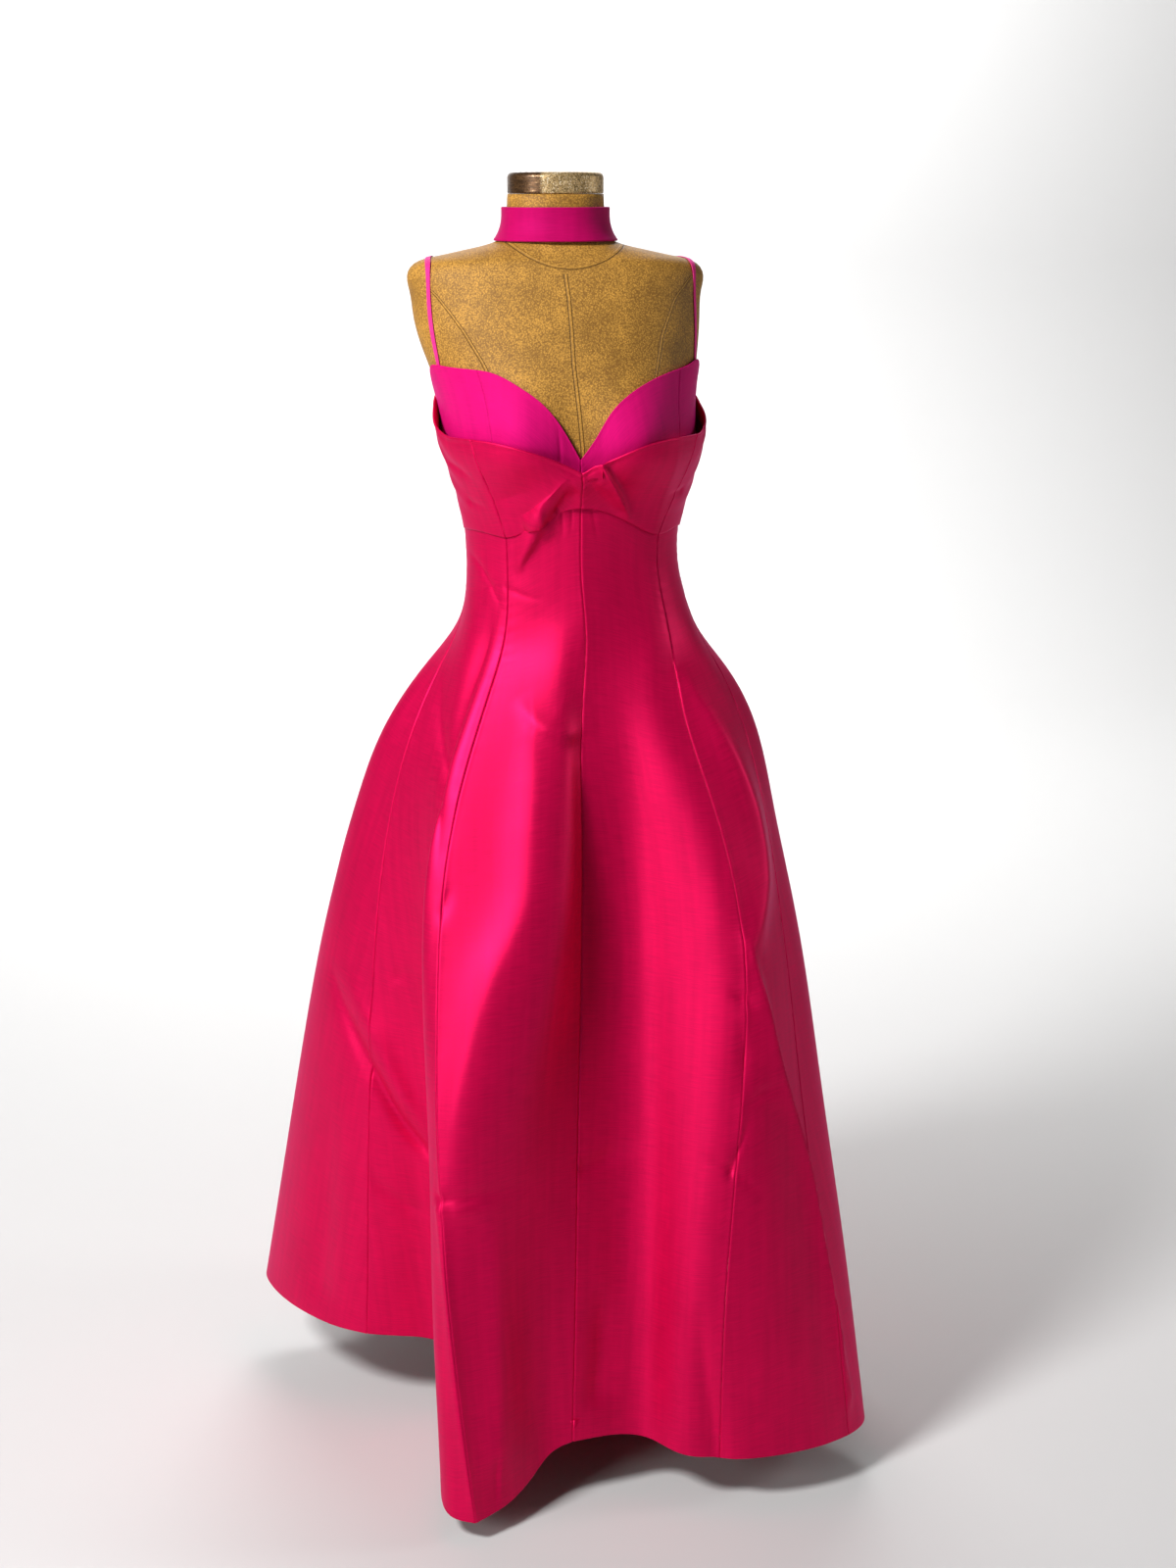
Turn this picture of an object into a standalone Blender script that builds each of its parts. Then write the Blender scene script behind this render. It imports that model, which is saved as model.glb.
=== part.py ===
"""Sweetheart midi dress on a limbless dress form.

Metres, +Z up. The origin is on the floor, in the middle of the stand's foot. The dress faces -Y and +X
is the viewer's right, so the wearer's left. Angles are degrees round the figure from the centre front,
positive towards +X, and "forward" means towards -Y.
"""

import math
from collections import namedtuple

import bmesh
import bpy
import mathutils
import numpy as np

MM = 0.001

# --- cloth and clearances ---------------------------------------------------------------------------
SEAM_GAP = 0.3 * MM          # between two pieces that meet at a seam
SATIN_WALL = 1.5 * MM        # satin with its backing
STRAP_WALL = 1.2 * MM
STRAP_WIDTH = 6.5 * MM
CHOKER_WALL = 2.6 * MM
STRAP_CLEAR = 0.60 * MM      # strap to the form
WAIST_CLEAR = 1.2 * MM       # inside of the midriff to the form
CUP_CLEAR = 2.2 * MM         # inside of the cups' top to the form, with room for the strap ends
CUP_EASE = 0.035             # height over which the cups go from the one clearance to the other
TUCK = 1.5 * MM              # how far the outer layer of the bodice laps over the midriff
CUP_FOOT_GAP = 2.4 * MM      # from the midriff up to the cups, hidden by the outer layer
SEAT_GAP = 0.3 * MM          # between stand pieces that touch

# --- dress form -------------------------------------------------------------------------------------
# A row for each level: its height, the middle, half the width, and its reach forward and back.
Level = namedtuple("Level", "z middle half front back")
FORM_LEVELS = (
    Level(1.4020, 0.0000, 0.0515, 0.0480, 0.0560),    # top of the neck
    Level(1.3760, 0.0000, 0.0520, 0.0500, 0.0580),
    Level(1.3590, 0.0000, 0.0545, 0.0530, 0.0620),
    Level(1.3510, 0.0000, 0.0680, 0.0590, 0.0690),    # foot of the neck
    Level(1.3440, 0.0000, 0.0960, 0.0640, 0.0760),
    Level(1.3370, 0.0000, 0.1290, 0.0700, 0.0840),
    Level(1.3300, 0.0000, 0.1520, 0.0750, 0.0900),    # top of the shoulder
    Level(1.3210, 0.0000, 0.1595, 0.0790, 0.0950),
    Level(1.3000, 0.0000, 0.1580, 0.0860, 0.1020),
    Level(1.2750, 0.0010, 0.1555, 0.0930, 0.1070),
    Level(1.2450, 0.0040, 0.1510, 0.1000, 0.1100),    # chest
    Level(1.2150, 0.0080, 0.1440, 0.1060, 0.1100),
    Level(1.1850, 0.0110, 0.1380, 0.1090, 0.1080),    # underarm
    Level(1.1500, 0.0140, 0.1345, 0.1090, 0.1040),    # bust
    Level(1.1100, 0.0160, 0.1265, 0.1050, 0.0990),
    Level(1.0750, 0.0165, 0.1195, 0.0990, 0.0950),
    Level(1.0450, 0.0165, 0.1155, 0.0930, 0.0910),    # under the bust
    Level(1.0150, 0.0170, 0.1145, 0.0880, 0.0880),    # waist
    Level(0.9850, 0.0190, 0.1165, 0.0870, 0.0890),
    Level(0.9550, 0.0215, 0.1235, 0.0890, 0.0950),
    Level(0.9000, 0.0210, 0.1335, 0.0960, 0.1060),    # high hip
    Level(0.8300, 0.0120, 0.1490, 0.1020, 0.1150),
    Level(0.7900, 0.0060, 0.1510, 0.1020, 0.1160),    # hip
    Level(0.7560, 0.0030, 0.1460, 0.0970, 0.1100),
    Level(0.7450, 0.0020, 0.1360, 0.0890, 0.1000),    # turned-in foot of the form
)
FORM_SQUARENESS = 2.25       # 2 is an ellipse, more is squarer
FORM_TOP = FORM_LEVELS[0].z
FORM_FOOT = FORM_LEVELS[-1].z

# The bust of the form: how far it stands out, its middle, and how far it spreads.
BUST_OUT = 0.024
BUST_ACROSS = 0.066
BUST_HEIGHT = 1.148
BUST_SPREAD_ACROSS = 0.046
BUST_SPREAD_UP = 0.052
BUST_SPREAD_DOWN = 0.040

# --- stand ------------------------------------------------------------------------------------------
CAP_HEIGHT = 0.0225
CAP_ROUNDING = 0.006
POLE_RADIUS = 0.012
BASE_RADIUS = 0.125
BASE_THICK = 0.016
BASE_BEVEL = 0.004

# --- neckband ---------------------------------------------------------------------------------------
CHOKER_LOW = 1.3545
CHOKER_HIGH = 1.3875
CHOKER_NECK = 1.3760         # the neck's ring here gives the band its outline
# A row for each height up the band, as a share of it: how far its inside stands off that ring.
BandRow = namedtuple("BandRow", "share out")
CHOKER_FLARE = (BandRow(0.0, 0.0108), BandRow(0.3, 0.0070), BandRow(0.7, 0.0042), BandRow(1.0, 0.0036))

# --- shoulder straps --------------------------------------------------------------------------------
# Each lies in an upright plane over the shoulder: its place across at the front, top and back, and the
# turns, in degrees from straight ahead up and over, where it goes in under the cup and the back.
Strap = namedtuple("Strap", "name front_x top_x back_x front_turn back_turn")
STRAPS = (
    Strap("strap_right", -0.127, -0.137, -0.095, -41.0, 219.0),
    Strap("strap_left", 0.146, 0.141, 0.105, -44.0, 219.0),
)
STRAP_CENTRE = 1.25          # the height that the turns are measured from

# --- lines of the bodice, each a height at an angle round the figure --------------------------------
Mark = namedtuple("Mark", "angle z")
UNDERBUST_SEAM = (
    Mark(-180, 1.045), Mark(-130, 1.045), Mark(-90, 1.047), Mark(-60, 1.050), Mark(-45, 1.048),
    Mark(-37, 1.047), Mark(-27, 1.054), Mark(-16, 1.066), Mark(-7, 1.078), Mark(1, 1.082),
    Mark(11, 1.076), Mark(23, 1.064), Mark(34, 1.052), Mark(43, 1.047), Mark(60, 1.050),
    Mark(90, 1.047), Mark(130, 1.045), Mark(180, 1.045),
)  # fmt: skip
NECKLINE_RIGHT = (
    Mark(-92, 1.190), Mark(-84, 1.208), Mark(-76, 1.2225), Mark(-69, 1.2255), Mark(-55, 1.224),
    Mark(-40, 1.222), Mark(-32, 1.219), Mark(-17.5, 1.198), Mark(-9, 1.176), Mark(-4, 1.153),
    Mark(0, 1.130),
)  # fmt: skip
NECKLINE_LEFT = (
    Mark(0, 1.130), Mark(3, 1.139), Mark(7, 1.157), Mark(15.5, 1.185), Mark(27, 1.204),
    Mark(45, 1.218), Mark(60, 1.224), Mark(70, 1.2285), Mark(78, 1.224), Mark(85, 1.210),
    Mark(92, 1.190),
)  # fmt: skip
FOLD_RIGHT = (
    Mark(-92, 1.189), Mark(-84, 1.177), Mark(-77, 1.165), Mark(-70, 1.156), Mark(-60, 1.152),
    Mark(-44, 1.152), Mark(-29, 1.148), Mark(-13.5, 1.137), Mark(0, 1.122),
)  # fmt: skip
FOLD_LEFT = (
    Mark(0, 1.122), Mark(7.5, 1.130), Mark(22.5, 1.145), Mark(45, 1.151), Mark(60, 1.151),
    Mark(72.5, 1.156), Mark(82, 1.172), Mark(92, 1.189),
)  # fmt: skip
BACK_TOP = (Mark(92, 1.190), Mark(115, 1.181), Mark(145, 1.170), Mark(180, 1.165))

SIDE_SEAM = 92.0
CUP_SEAM_RIGHT = -39.0
CUP_SEAM_LEFT = 51.0
# The seam between the centre and side of the outer layer slants: its angle at the foot and at the top.
Slant = namedtuple("Slant", "foot top")
LAYER_SEAM_RIGHT = Slant(-38.0, -46.0)
LAYER_SEAM_LEFT = Slant(43.5, 59.0)

LAYER_SEAM_CLEAR = 0.4 * MM  # inside of the outer layer to the cups' outside, at its seam
LAYER_CLEAR = 0.9 * MM       # and above the seam
LAYER_EASE = 0.012           # height over which it goes from the one to the other
LAYER_STAND = 9.0 * MM       # how far more its folded top stands off
SIDE_DRAG = 1.8 * MM         # depth of the creases pulled in at each side
SIDE_DRAG_LENGTH = 0.021     # from one to the next, up the side

# The pointed pleats of the outer layer: each runs from an upper to a lower point, given by angle and
# height, and stands out by one amount at its top and another at its foot.
Pleat = namedtuple("Pleat", "angle z foot_angle foot_z out foot_out spread")
PLEATS = (
    Pleat(-3.5, 1.114, -21.0, 1.062, 2.0 * MM, 8.5 * MM, 0.0075),
    Pleat(6.5, 1.122, 25.0, 1.062, 5.0 * MM, 1.5 * MM, 0.0060),
)

# --- skirt ------------------------------------------------------------------------------------------
# The heights at which each rib below gives its place.
RIB_HEIGHTS = (0.86, 0.75, 0.60, 0.42, 0.24, 0.06)
FIGURE_HEIGHTS = (1.02, 0.99, 0.96)      # above the ribs the cloth lies along the figure
SKIRT_LEAVES = (0.91, 0.970)             # it leaves the figure between these heights
# A rib is a line down the skirt along a fold or seam: its angle on the midriff, its place across (x)
# and forward (f) at each height above, and the height of the hem there. The order is once round.
Rib = namedtuple("Rib", "name angle hem x f")
RIBS = (
    Rib("centre_front", 0, 0.072,
        (0.016, 0.013, 0.009, 0.002, -0.004, -0.011), (0.114, 0.139, 0.174, 0.209, 0.242, 0.272)),
    Rib("dip_beside_centre", 21, 0.069,
        (0.058, 0.062, 0.064, 0.058, 0.054, 0.052), (0.113, 0.136, 0.163, 0.196, 0.229, 0.260)),
    Rib("princess_left", 44, 0.058,
        (0.126, 0.158, 0.183, 0.174, 0.156, 0.149), (0.108, 0.155, 0.205, 0.247, 0.280, 0.301)),
    Rib("left_facet", 62, 0.057,
        (0.163, 0.191, 0.210, 0.216, 0.218, 0.222), (0.090, 0.135, 0.184, 0.230, 0.266, 0.294)),
    Rib("side_seam_left", 84, 0.053,
        (0.189, 0.217, 0.238, 0.254, 0.276, 0.300), (0.058, 0.098, 0.140, 0.184, 0.222, 0.254)),
    Rib("left_edge", 101, 0.052,
        (0.204, 0.236, 0.264, 0.288, 0.310, 0.325), (0.022, 0.046, 0.080, 0.118, 0.152, 0.186)),
    Rib("left_back_dip", 117, 0.066,
        (0.194, 0.224, 0.246, 0.262, 0.272, 0.280), (-0.018, -0.002, 0.018, 0.042, 0.066, 0.090)),
    Rib("left_back_fold", 133, 0.075,
        (0.182, 0.238, 0.274, 0.294, 0.306, 0.312), (-0.060, -0.052, -0.045, -0.040, -0.038, -0.040)),
    Rib("left_back_hollow", 147, 0.082,
        (0.142, 0.175, 0.204, 0.222, 0.232, 0.240), (-0.095, -0.105, -0.112, -0.118, -0.122, -0.128)),
    Rib("back_seam_left", 158, 0.078,
        (0.104, 0.135, 0.166, 0.190, 0.204, 0.212), (-0.120, -0.150, -0.184, -0.216, -0.242, -0.262)),
    Rib("hollow_beside_centre_back_left", 169, 0.080,
        (0.056, 0.066, 0.078, 0.088, 0.096, 0.102), (-0.133, -0.163, -0.190, -0.210, -0.228, -0.246)),
    Rib("centre_back", 180, 0.076,
        (0.005, 0.003, 0.002, 0.004, 0.008, 0.010), (-0.138, -0.175, -0.220, -0.264, -0.300, -0.328)),
    Rib("hollow_beside_centre_back_right", 191, 0.080,
        (-0.045, -0.058, -0.072, -0.084, -0.094, -0.100), (-0.134, -0.164, -0.194, -0.216, -0.234, -0.250)),
    Rib("back_seam_right", 203, 0.082,
        (-0.092, -0.122, -0.152, -0.176, -0.194, -0.206), (-0.120, -0.155, -0.196, -0.236, -0.268, -0.292)),
    Rib("right_back_hollow", 216, 0.086,
        (-0.128, -0.160, -0.190, -0.212, -0.228, -0.240), (-0.092, -0.118, -0.146, -0.170, -0.188, -0.202)),
    Rib("right_edge", 238, 0.094,
        (-0.161, -0.211, -0.252, -0.287, -0.317, -0.347), (-0.034, -0.058, -0.088, -0.120, -0.148, -0.170)),
    Rib("side_seam_right", 266, 0.096,
        (-0.147, -0.184, -0.208, -0.220, -0.227, -0.232), (0.024, 0.026, 0.030, 0.034, 0.038, 0.041)),
    Rib("right_flat", 288, 0.093,
        (-0.127, -0.158, -0.170, -0.166, -0.160, -0.154), (0.059, 0.065, 0.062, 0.058, 0.056, 0.056)),
    Rib("hollow_behind_ridge", 305, 0.070,
        (-0.114, -0.141, -0.139, -0.120, -0.108, -0.103), (0.080, 0.098, 0.112, 0.116, 0.122, 0.130)),
    Rib("ridge_flank", 314, 0.036,
        (-0.104, -0.137, -0.149, -0.150, -0.153, -0.154), (0.095, 0.128, 0.162, 0.200, 0.236, 0.268)),
    Rib("princess_right", 322, 0.024,
        (-0.089, -0.126, -0.147, -0.151, -0.143, -0.126), (0.110, 0.156, 0.214, 0.266, 0.307, 0.338)),
    Rib("turn_of_ridge", 340, 0.034,
        (-0.037, -0.050, -0.074, -0.110, -0.098, -0.078), (0.122, 0.166, 0.226, 0.272, 0.288, 0.306)),
)  # fmt: skip

# --- zip at the centre back -------------------------------------------------------------------------
SLIDER_HEIGHT = 1.152        # its middle
SLIDER_LONG = 0.0090
SLIDER_WIDE = 0.0052
SLIDER_THICK = 0.0018
CHEEK_WIDE = 0.0009          # the two cheeks that hold the pull
CHEEK_LONG = 0.0030
HINGE_RADIUS = 0.0010
PULL_GAP = 0.35 * MM
PULL_WIDE = 0.0042
PULL_LONG = 0.0180
PULL_THICK = 0.0010

# --- fineness of the solids -------------------------------------------------------------------------
FORM_COLUMNS = 40
FORM_EXTRA_LEVELS = (1.230, 1.200, 1.1675, 1.130, 1.0925, 1.060, 1.030, 1.000, 0.970, 0.9275, 0.865)
BAND_COLUMNS = 36
SKIRT_ROWS = 17
STRAP_ROWS = 56
STRAP_CROWDING = 0.6         # share of the rows' crowding over the shoulder
SKIRT_CROWDING = 1.5         # more puts more of the rows near the top
SKIRT_STEP = 0.027           # width of a column of the skirt where it is widest
BODICE_ROWS = 8
BODICE_STEP = 6.0            # degrees in a column of the bodice
PLEAT_STEP = 3.0             # and where the pleats are


# --- curves -----------------------------------------------------------------------------------------
def spline_value(x, y, bend, t):
    """The cubic spline with these knots, values and second derivatives, at t."""
    i = int(np.clip(np.searchsorted(x, t) - 1, 0, len(x) - 2))
    h, a, b = x[i + 1] - x[i], x[i + 1] - t, t - x[i]
    curve = (bend[i] * a**3 + bend[i + 1] * b**3) / (6 * h)
    return curve + (y[i] / h - bend[i] * h / 6) * a + (y[i + 1] / h - bend[i + 1] * h / 6) * b


def spline(knots, values):
    """The natural cubic spline through values, of any number of columns, as a function."""
    x = np.asarray(knots, float)
    y = np.asarray(values, float).reshape(len(x), -1)
    h = np.diff(x)
    slopes = np.diff(y, axis=0) / h[:, None]
    system = np.eye(len(x))
    target = np.zeros_like(y)
    for i in range(1, len(h)):
        system[i, i - 1 : i + 2] = h[i - 1], 2 * (h[i - 1] + h[i]), h[i]
        target[i] = 6 * (slopes[i] - slopes[i - 1])
    bend = np.linalg.solve(system, target)
    return lambda t: spline_value(x, y, bend, t)


class ClosedSpline:
    """A closed cubic spline at fixed stations. The last station is the first one again."""

    def __init__(self, stations):
        self.x = np.asarray(stations, float)
        self.h = np.diff(self.x)
        count = len(self.h)
        system = np.zeros((count, count))
        for i in range(count):
            system[i, i - 1] += self.h[i - 1]
            system[i, i] += 2 * (self.h[i - 1] + self.h[i])
            system[i, (i + 1) % count] += self.h[i]
        self.inverse = np.linalg.inv(system)

    def value(self, y, t):
        slopes = (np.roll(y, -1, axis=0) - y) / self.h[:, None]
        bend = self.inverse @ (6 * (slopes - np.roll(slopes, 1, axis=0)))
        length = self.x[-1]
        return spline_value(self.x, np.vstack([y, y[:1]]), np.vstack([bend, bend[:1]]), t % length)


def smooth_step(value, low, high):
    """0 below low, 1 above high, and an eased slope between them."""
    t = min(1.0, max(0.0, (value - low) / (high - low)))
    return t * t * (3 - 2 * t)


def mix(a, b, share):
    return a + (b - a) * share


def height_line(marks):
    """A smooth line of heights round the figure through these marks."""
    curve = spline([mark.angle for mark in marks], [mark.z for mark in marks])
    return lambda angle: float(curve(angle)[0])


# --- the figure -------------------------------------------------------------------------------------
form_levels = sorted(FORM_LEVELS)
form_sizes = spline([level.z for level in form_levels], [level[1:] for level in form_levels])


def bust(x, z):
    """How far the bust stands out, forward, at a place across and up the figure."""
    spread = BUST_SPREAD_UP if z > BUST_HEIGHT else BUST_SPREAD_DOWN
    rise = math.exp(-(((z - BUST_HEIGHT) / spread) ** 2))
    mounds = (math.exp(-(((x - side * BUST_ACROSS) / BUST_SPREAD_ACROSS) ** 2)) for side in (-1, 1))
    return BUST_OUT * rise * sum(mounds)


def on_figure(angle, z):
    """The point of the form's surface at that angle and height."""
    middle, half, front, back = form_sizes(z)
    turn = math.radians(angle)
    power = 2 / FORM_SQUARENESS
    across = half * math.copysign(abs(math.sin(turn)) ** power, math.sin(turn))
    depth = abs(math.cos(turn)) ** power
    if math.cos(turn) > 0:
        forward = front * depth + bust(across, z) * min(1, 2 * depth)
    else:
        forward = -back * depth
    return np.array([middle + across, -forward, z])


def normal_of(surface, u, v, step_u, step_v):
    """The unit normal of a surface where u runs to the left of the wearer's front and v upwards."""
    along = surface(u + step_u, v) - surface(u - step_u, v)
    up = surface(u, v + step_v) - surface(u, v - step_v)
    normal = np.cross(along, up)
    return normal / np.linalg.norm(normal)


def off_figure(angle, z, out):
    return on_figure(angle, z) + out * normal_of(on_figure, angle, z, 1.0, 0.002)


# --- the bodice -------------------------------------------------------------------------------------
underbust = height_line(UNDERBUST_SEAM)
neckline_right, neckline_left = height_line(NECKLINE_RIGHT), height_line(NECKLINE_LEFT)
fold_right, fold_left = height_line(FOLD_RIGHT), height_line(FOLD_LEFT)
back_top = height_line(BACK_TOP)


def cup_out(angle, z):
    """How far the inside of the cups and of the back bodice stands off the form."""
    return mix(WAIST_CLEAR, CUP_CLEAR, smooth_step(z - underbust(angle), 0.0, CUP_EASE))


def fold_top(angle):
    return fold_right(angle) if angle < 0 else fold_left(angle)


def pleat_out(angle, z):
    """How far the pointed pleats raise the outer layer."""
    here = on_figure(angle, z)
    total = 0.0
    for pleat in PLEATS:
        top, foot = on_figure(pleat.angle, pleat.z), on_figure(pleat.foot_angle, pleat.foot_z)
        line = foot - top
        share = float(np.dot(here - top, line) / np.dot(line, line))
        off = np.linalg.norm(here - top - line * min(1.0, max(0.0, share)))
        ends = smooth_step(share, -0.25, 0.1) * (1 - smooth_step(share, 1.0, 1.2))
        height = mix(pleat.out, pleat.foot_out, min(1.0, max(0.0, share)))
        total += height * ends * math.exp(-((off / pleat.spread) ** 2))
    return total


def layer_out(angle, z):
    """How far the inside of the bodice's outer layer stands off the form."""
    foot = underbust(angle)
    share = (z - foot) / (fold_top(angle) - foot)
    clear = mix(LAYER_SEAM_CLEAR, LAYER_CLEAR, smooth_step(z - foot, 0.0, LAYER_EASE))
    at_side = smooth_step(abs(angle), 76.0, SIDE_SEAM)
    stand = LAYER_STAND * (1 - at_side) * smooth_step(share, 0.0, 1.0)
    drag = SIDE_DRAG * smooth_step(abs(angle), 50.0, 85.0) * (1 - at_side) * smooth_step(share, 0.0, 0.2)
    wave = 0.5 - 0.5 * math.cos(2 * math.pi * (z - foot) / SIDE_DRAG_LENGTH)
    return cup_out(angle, z) + SATIN_WALL + clear + stand + drag * wave + pleat_out(angle, z)


def on_layer(angle, z):
    return off_figure(angle, z, layer_out(angle, z))


# --- the skirt --------------------------------------------------------------------------------------
def rib_stations():
    """Distances from rib to rib round the skirt, halfway down it."""
    level = RIB_HEIGHTS.index(0.42)
    places = np.array([(rib.x[level], rib.f[level]) for rib in RIBS])
    steps = np.linalg.norm(np.roll(places, -1, axis=0) - places, axis=1)
    return np.concatenate([[0.0], np.cumsum(steps)])


def rib_line(rib):
    """A rib's place, across and forward, as a function of height."""
    top = [on_figure(rib.angle, z) for z in FIGURE_HEIGHTS]
    xs = [point[0] for point in top] + list(rib.x)
    fs = [-point[1] for point in top] + list(rib.f)
    heights = FIGURE_HEIGHTS + RIB_HEIGHTS
    return spline(heights[::-1], list(zip(xs[::-1], fs[::-1], strict=True)))


rib_names = [rib.name for rib in RIBS]
stations = rib_stations()
girth = ClosedSpline(stations)
rib_lines = [rib_line(rib) for rib in RIBS]
rib_hems = np.array([[rib.hem] for rib in RIBS])


def midriff_angle(u):
    angles = [rib.angle for rib in RIBS] + [360]
    return float(np.interp(u % stations[-1], stations, angles))


def hem_height(u):
    return float(girth.value(rib_hems, u)[0])


def on_skirt(u, z):
    """The inside of the skirt at a station round it and a height."""
    figure = off_figure(midriff_angle(u), z, WAIST_CLEAR)
    away = 1 - smooth_step(z, *SKIRT_LEAVES)
    if away == 0:
        return figure
    x, forward = girth.value(np.array([line(z) for line in rib_lines]), u)
    return mix(figure, np.array([x, -forward, z]), away)


def signed(angle):
    """The same angle between -180 and 180."""
    return (angle + 180) % 360 - 180


# --- making meshes ----------------------------------------------------------------------------------
def make_material(name, colour, roughness, metallic=0.0):
    material = bpy.data.materials.new(name)
    material.use_nodes = True
    shader = material.node_tree.nodes["Principled BSDF"]
    shader.inputs["Base Color"].default_value = (*colour, 1)
    shader.inputs["Roughness"].default_value = roughness
    shader.inputs["Metallic"].default_value = metallic
    material.diffuse_color = (*colour, 1)
    return material


def add_object(name, bm, material, collection):
    """Turns the finished bmesh into an object, with its faces pointing out."""
    bmesh.ops.recalc_face_normals(bm, faces=bm.faces)
    mesh = bpy.data.meshes.new(name)
    bm.to_mesh(mesh)
    bm.free()
    mesh.materials.append(material)
    mesh.shade_smooth()
    mesh.set_sharp_from_angle(angle=math.radians(40))
    made = bpy.data.objects.new(name, mesh)
    collection.objects.link(made)
    return made


def panel_mesh(place, columns, rows, wall, sides=(True, True)):
    """A wall of cloth between two seams.

    place(s, t) gives a point of its inside and the direction of its outside, for s across from 0 to 1
    and t up from 0 to 1. Each side named in sides is drawn in by half a seam's gap.
    """
    bm = bmesh.new()
    bmesh.ops.create_grid(bm, x_segments=columns, y_segments=rows, size=0.5)
    grown = bmesh.ops.extrude_face_region(bm, geom=bm.faces[:])["geom"]
    outer = {item for item in grown if isinstance(item, bmesh.types.BMVert)}
    half_gap = 0.5 * SEAM_GAP
    found = {}
    for vert in bm.verts:
        key = round((vert.co.x + 0.5) * columns), round((vert.co.y + 0.5) * rows)
        if key not in found:
            s, t = key[0] / columns, key[1] / rows
            point, normal = place(s, t)
            if (key[0] == 0 and sides[0]) or (key[0] == columns and sides[1]):
                inward = place(s + (1 / columns if s == 0 else -1 / columns), t)[0] - point
                inward -= normal * np.dot(inward, normal)
                point = point + inward * half_gap / np.linalg.norm(inward)
            found[key] = point, normal
        point, normal = found[key]
        vert.co = point + normal * wall if vert in outer else point
    return bm


def pull_out(bm, faces):
    """Extrudes faces of a closed body together and returns their new corners and faces."""
    grown = bmesh.ops.extrude_face_region(bm, geom=faces)["geom"]
    bmesh.ops.delete(bm, geom=faces, context="FACES_ONLY")
    corners = [item for item in grown if isinstance(item, bmesh.types.BMVert)]
    return corners, [item for item in grown if isinstance(item, bmesh.types.BMFace)]


def tube_mesh(ring, columns, rows):
    """A closed skin round the figure: ring(angle, t) for t up from 0 to 1, with flat ends."""
    bm = bmesh.new()
    bmesh.ops.create_grid(bm, x_segments=columns, y_segments=rows, size=0.5)
    for vert in bm.verts:
        vert.co = ring(360 * (vert.co.x + 0.5), vert.co.y + 0.5)
    bmesh.ops.remove_doubles(bm, verts=bm.verts, dist=1e-5)
    bmesh.ops.holes_fill(bm, edges=[edge for edge in bm.edges if edge.is_boundary])
    return bm


# --- stand ------------------------------------------------------------------------------------------
def form_body(material, collection):
    heights = sorted([level.z for level in FORM_LEVELS] + list(FORM_EXTRA_LEVELS))
    rows = len(heights) - 1
    bm = tube_mesh(lambda angle, t: on_figure(angle, heights[round(t * rows)]), FORM_COLUMNS, rows)
    add_object("dress_form_body", bm, material, collection)


def form_cap(material, collection):
    """The cap on the neck, as wide as the neck and rounded over at the top."""
    arc = [math.radians(turn) for turn in (0, 30, 60, 90)]
    flat = CAP_HEIGHT - CAP_ROUNDING
    profile = [(0.0, 0.001), (0.001, 0.0)]
    profile += [(flat + CAP_ROUNDING * math.sin(a), CAP_ROUNDING * (1 - math.cos(a))) for a in arc]

    def ring(angle, t):
        height, inset = profile[round(t * (len(profile) - 1))]
        x, y, z = on_figure(angle, FORM_TOP)
        scale = 1 - inset / FORM_LEVELS[0].half
        return x * scale, y * scale, z + SEAT_GAP + height

    add_object("dress_form_cap", tube_mesh(ring, FORM_COLUMNS, len(profile) - 1), material, collection)


def stand_pole(material, collection):
    low, high = BASE_THICK + SEAT_GAP, FORM_FOOT - SEAT_GAP
    bm = bmesh.new()
    bmesh.ops.create_cone(
        bm, cap_ends=True, segments=24, radius1=POLE_RADIUS, radius2=POLE_RADIUS, depth=high - low
    )
    bmesh.ops.translate(bm, verts=bm.verts, vec=(0, 0, (low + high) / 2))
    add_object("stand_pole", bm, material, collection)


def stand_base(material, collection):
    bm = bmesh.new()
    bmesh.ops.create_cone(
        bm, cap_ends=True, segments=48, radius1=BASE_RADIUS, radius2=BASE_RADIUS, depth=BASE_THICK
    )
    bmesh.ops.translate(bm, verts=bm.verts, vec=(0, 0, BASE_THICK / 2))
    rim = [edge for edge in bm.edges if all(vert.co.z > BASE_THICK / 2 for vert in edge.verts)]
    bmesh.ops.bevel(
        bm, geom=rim, offset=BASE_BEVEL, segments=3, profile=0.5, affect="EDGES", material=-1
    )
    add_object("stand_base", bm, material, collection)


# --- dress ------------------------------------------------------------------------------------------
def neckband(material, collection):
    """A closed ring of doubled cloth, wider at its lower edge."""
    flare = spline([row.share for row in CHOKER_FLARE], [row.out for row in CHOKER_FLARE])
    steps = len(CHOKER_FLARE)
    inside = [(1 - k / (steps - 1), 0.0) for k in range(steps)]
    outside = [(k / (steps - 1), CHOKER_WALL) for k in range(steps)]
    profile = inside + outside + inside[:1]

    def ring(angle, t):
        share, wall = profile[round(t * (len(profile) - 1))]
        x, y, _ = on_figure(angle, CHOKER_NECK)
        turn = math.radians(angle)
        out = float(flare(share)[0]) + wall
        return x + out * math.sin(turn), y - out * math.cos(turn), mix(CHOKER_LOW, CHOKER_HIGH, share)

    add_object("neckband", tube_mesh(ring, BAND_COLUMNS, len(profile) - 1), material, collection)


def inside_form(x, y, z):
    middle, half, front, back = form_sizes(z)
    across = abs(x - middle) / half
    if across >= 1 or z >= FORM_TOP:
        return False
    depth = (1 - across**FORM_SQUARENESS) ** (1 / FORM_SQUARENESS)
    if y > 0:
        return y < back * depth
    return -y < front * depth + bust(x - middle, z) * min(1, 2 * depth)


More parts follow.
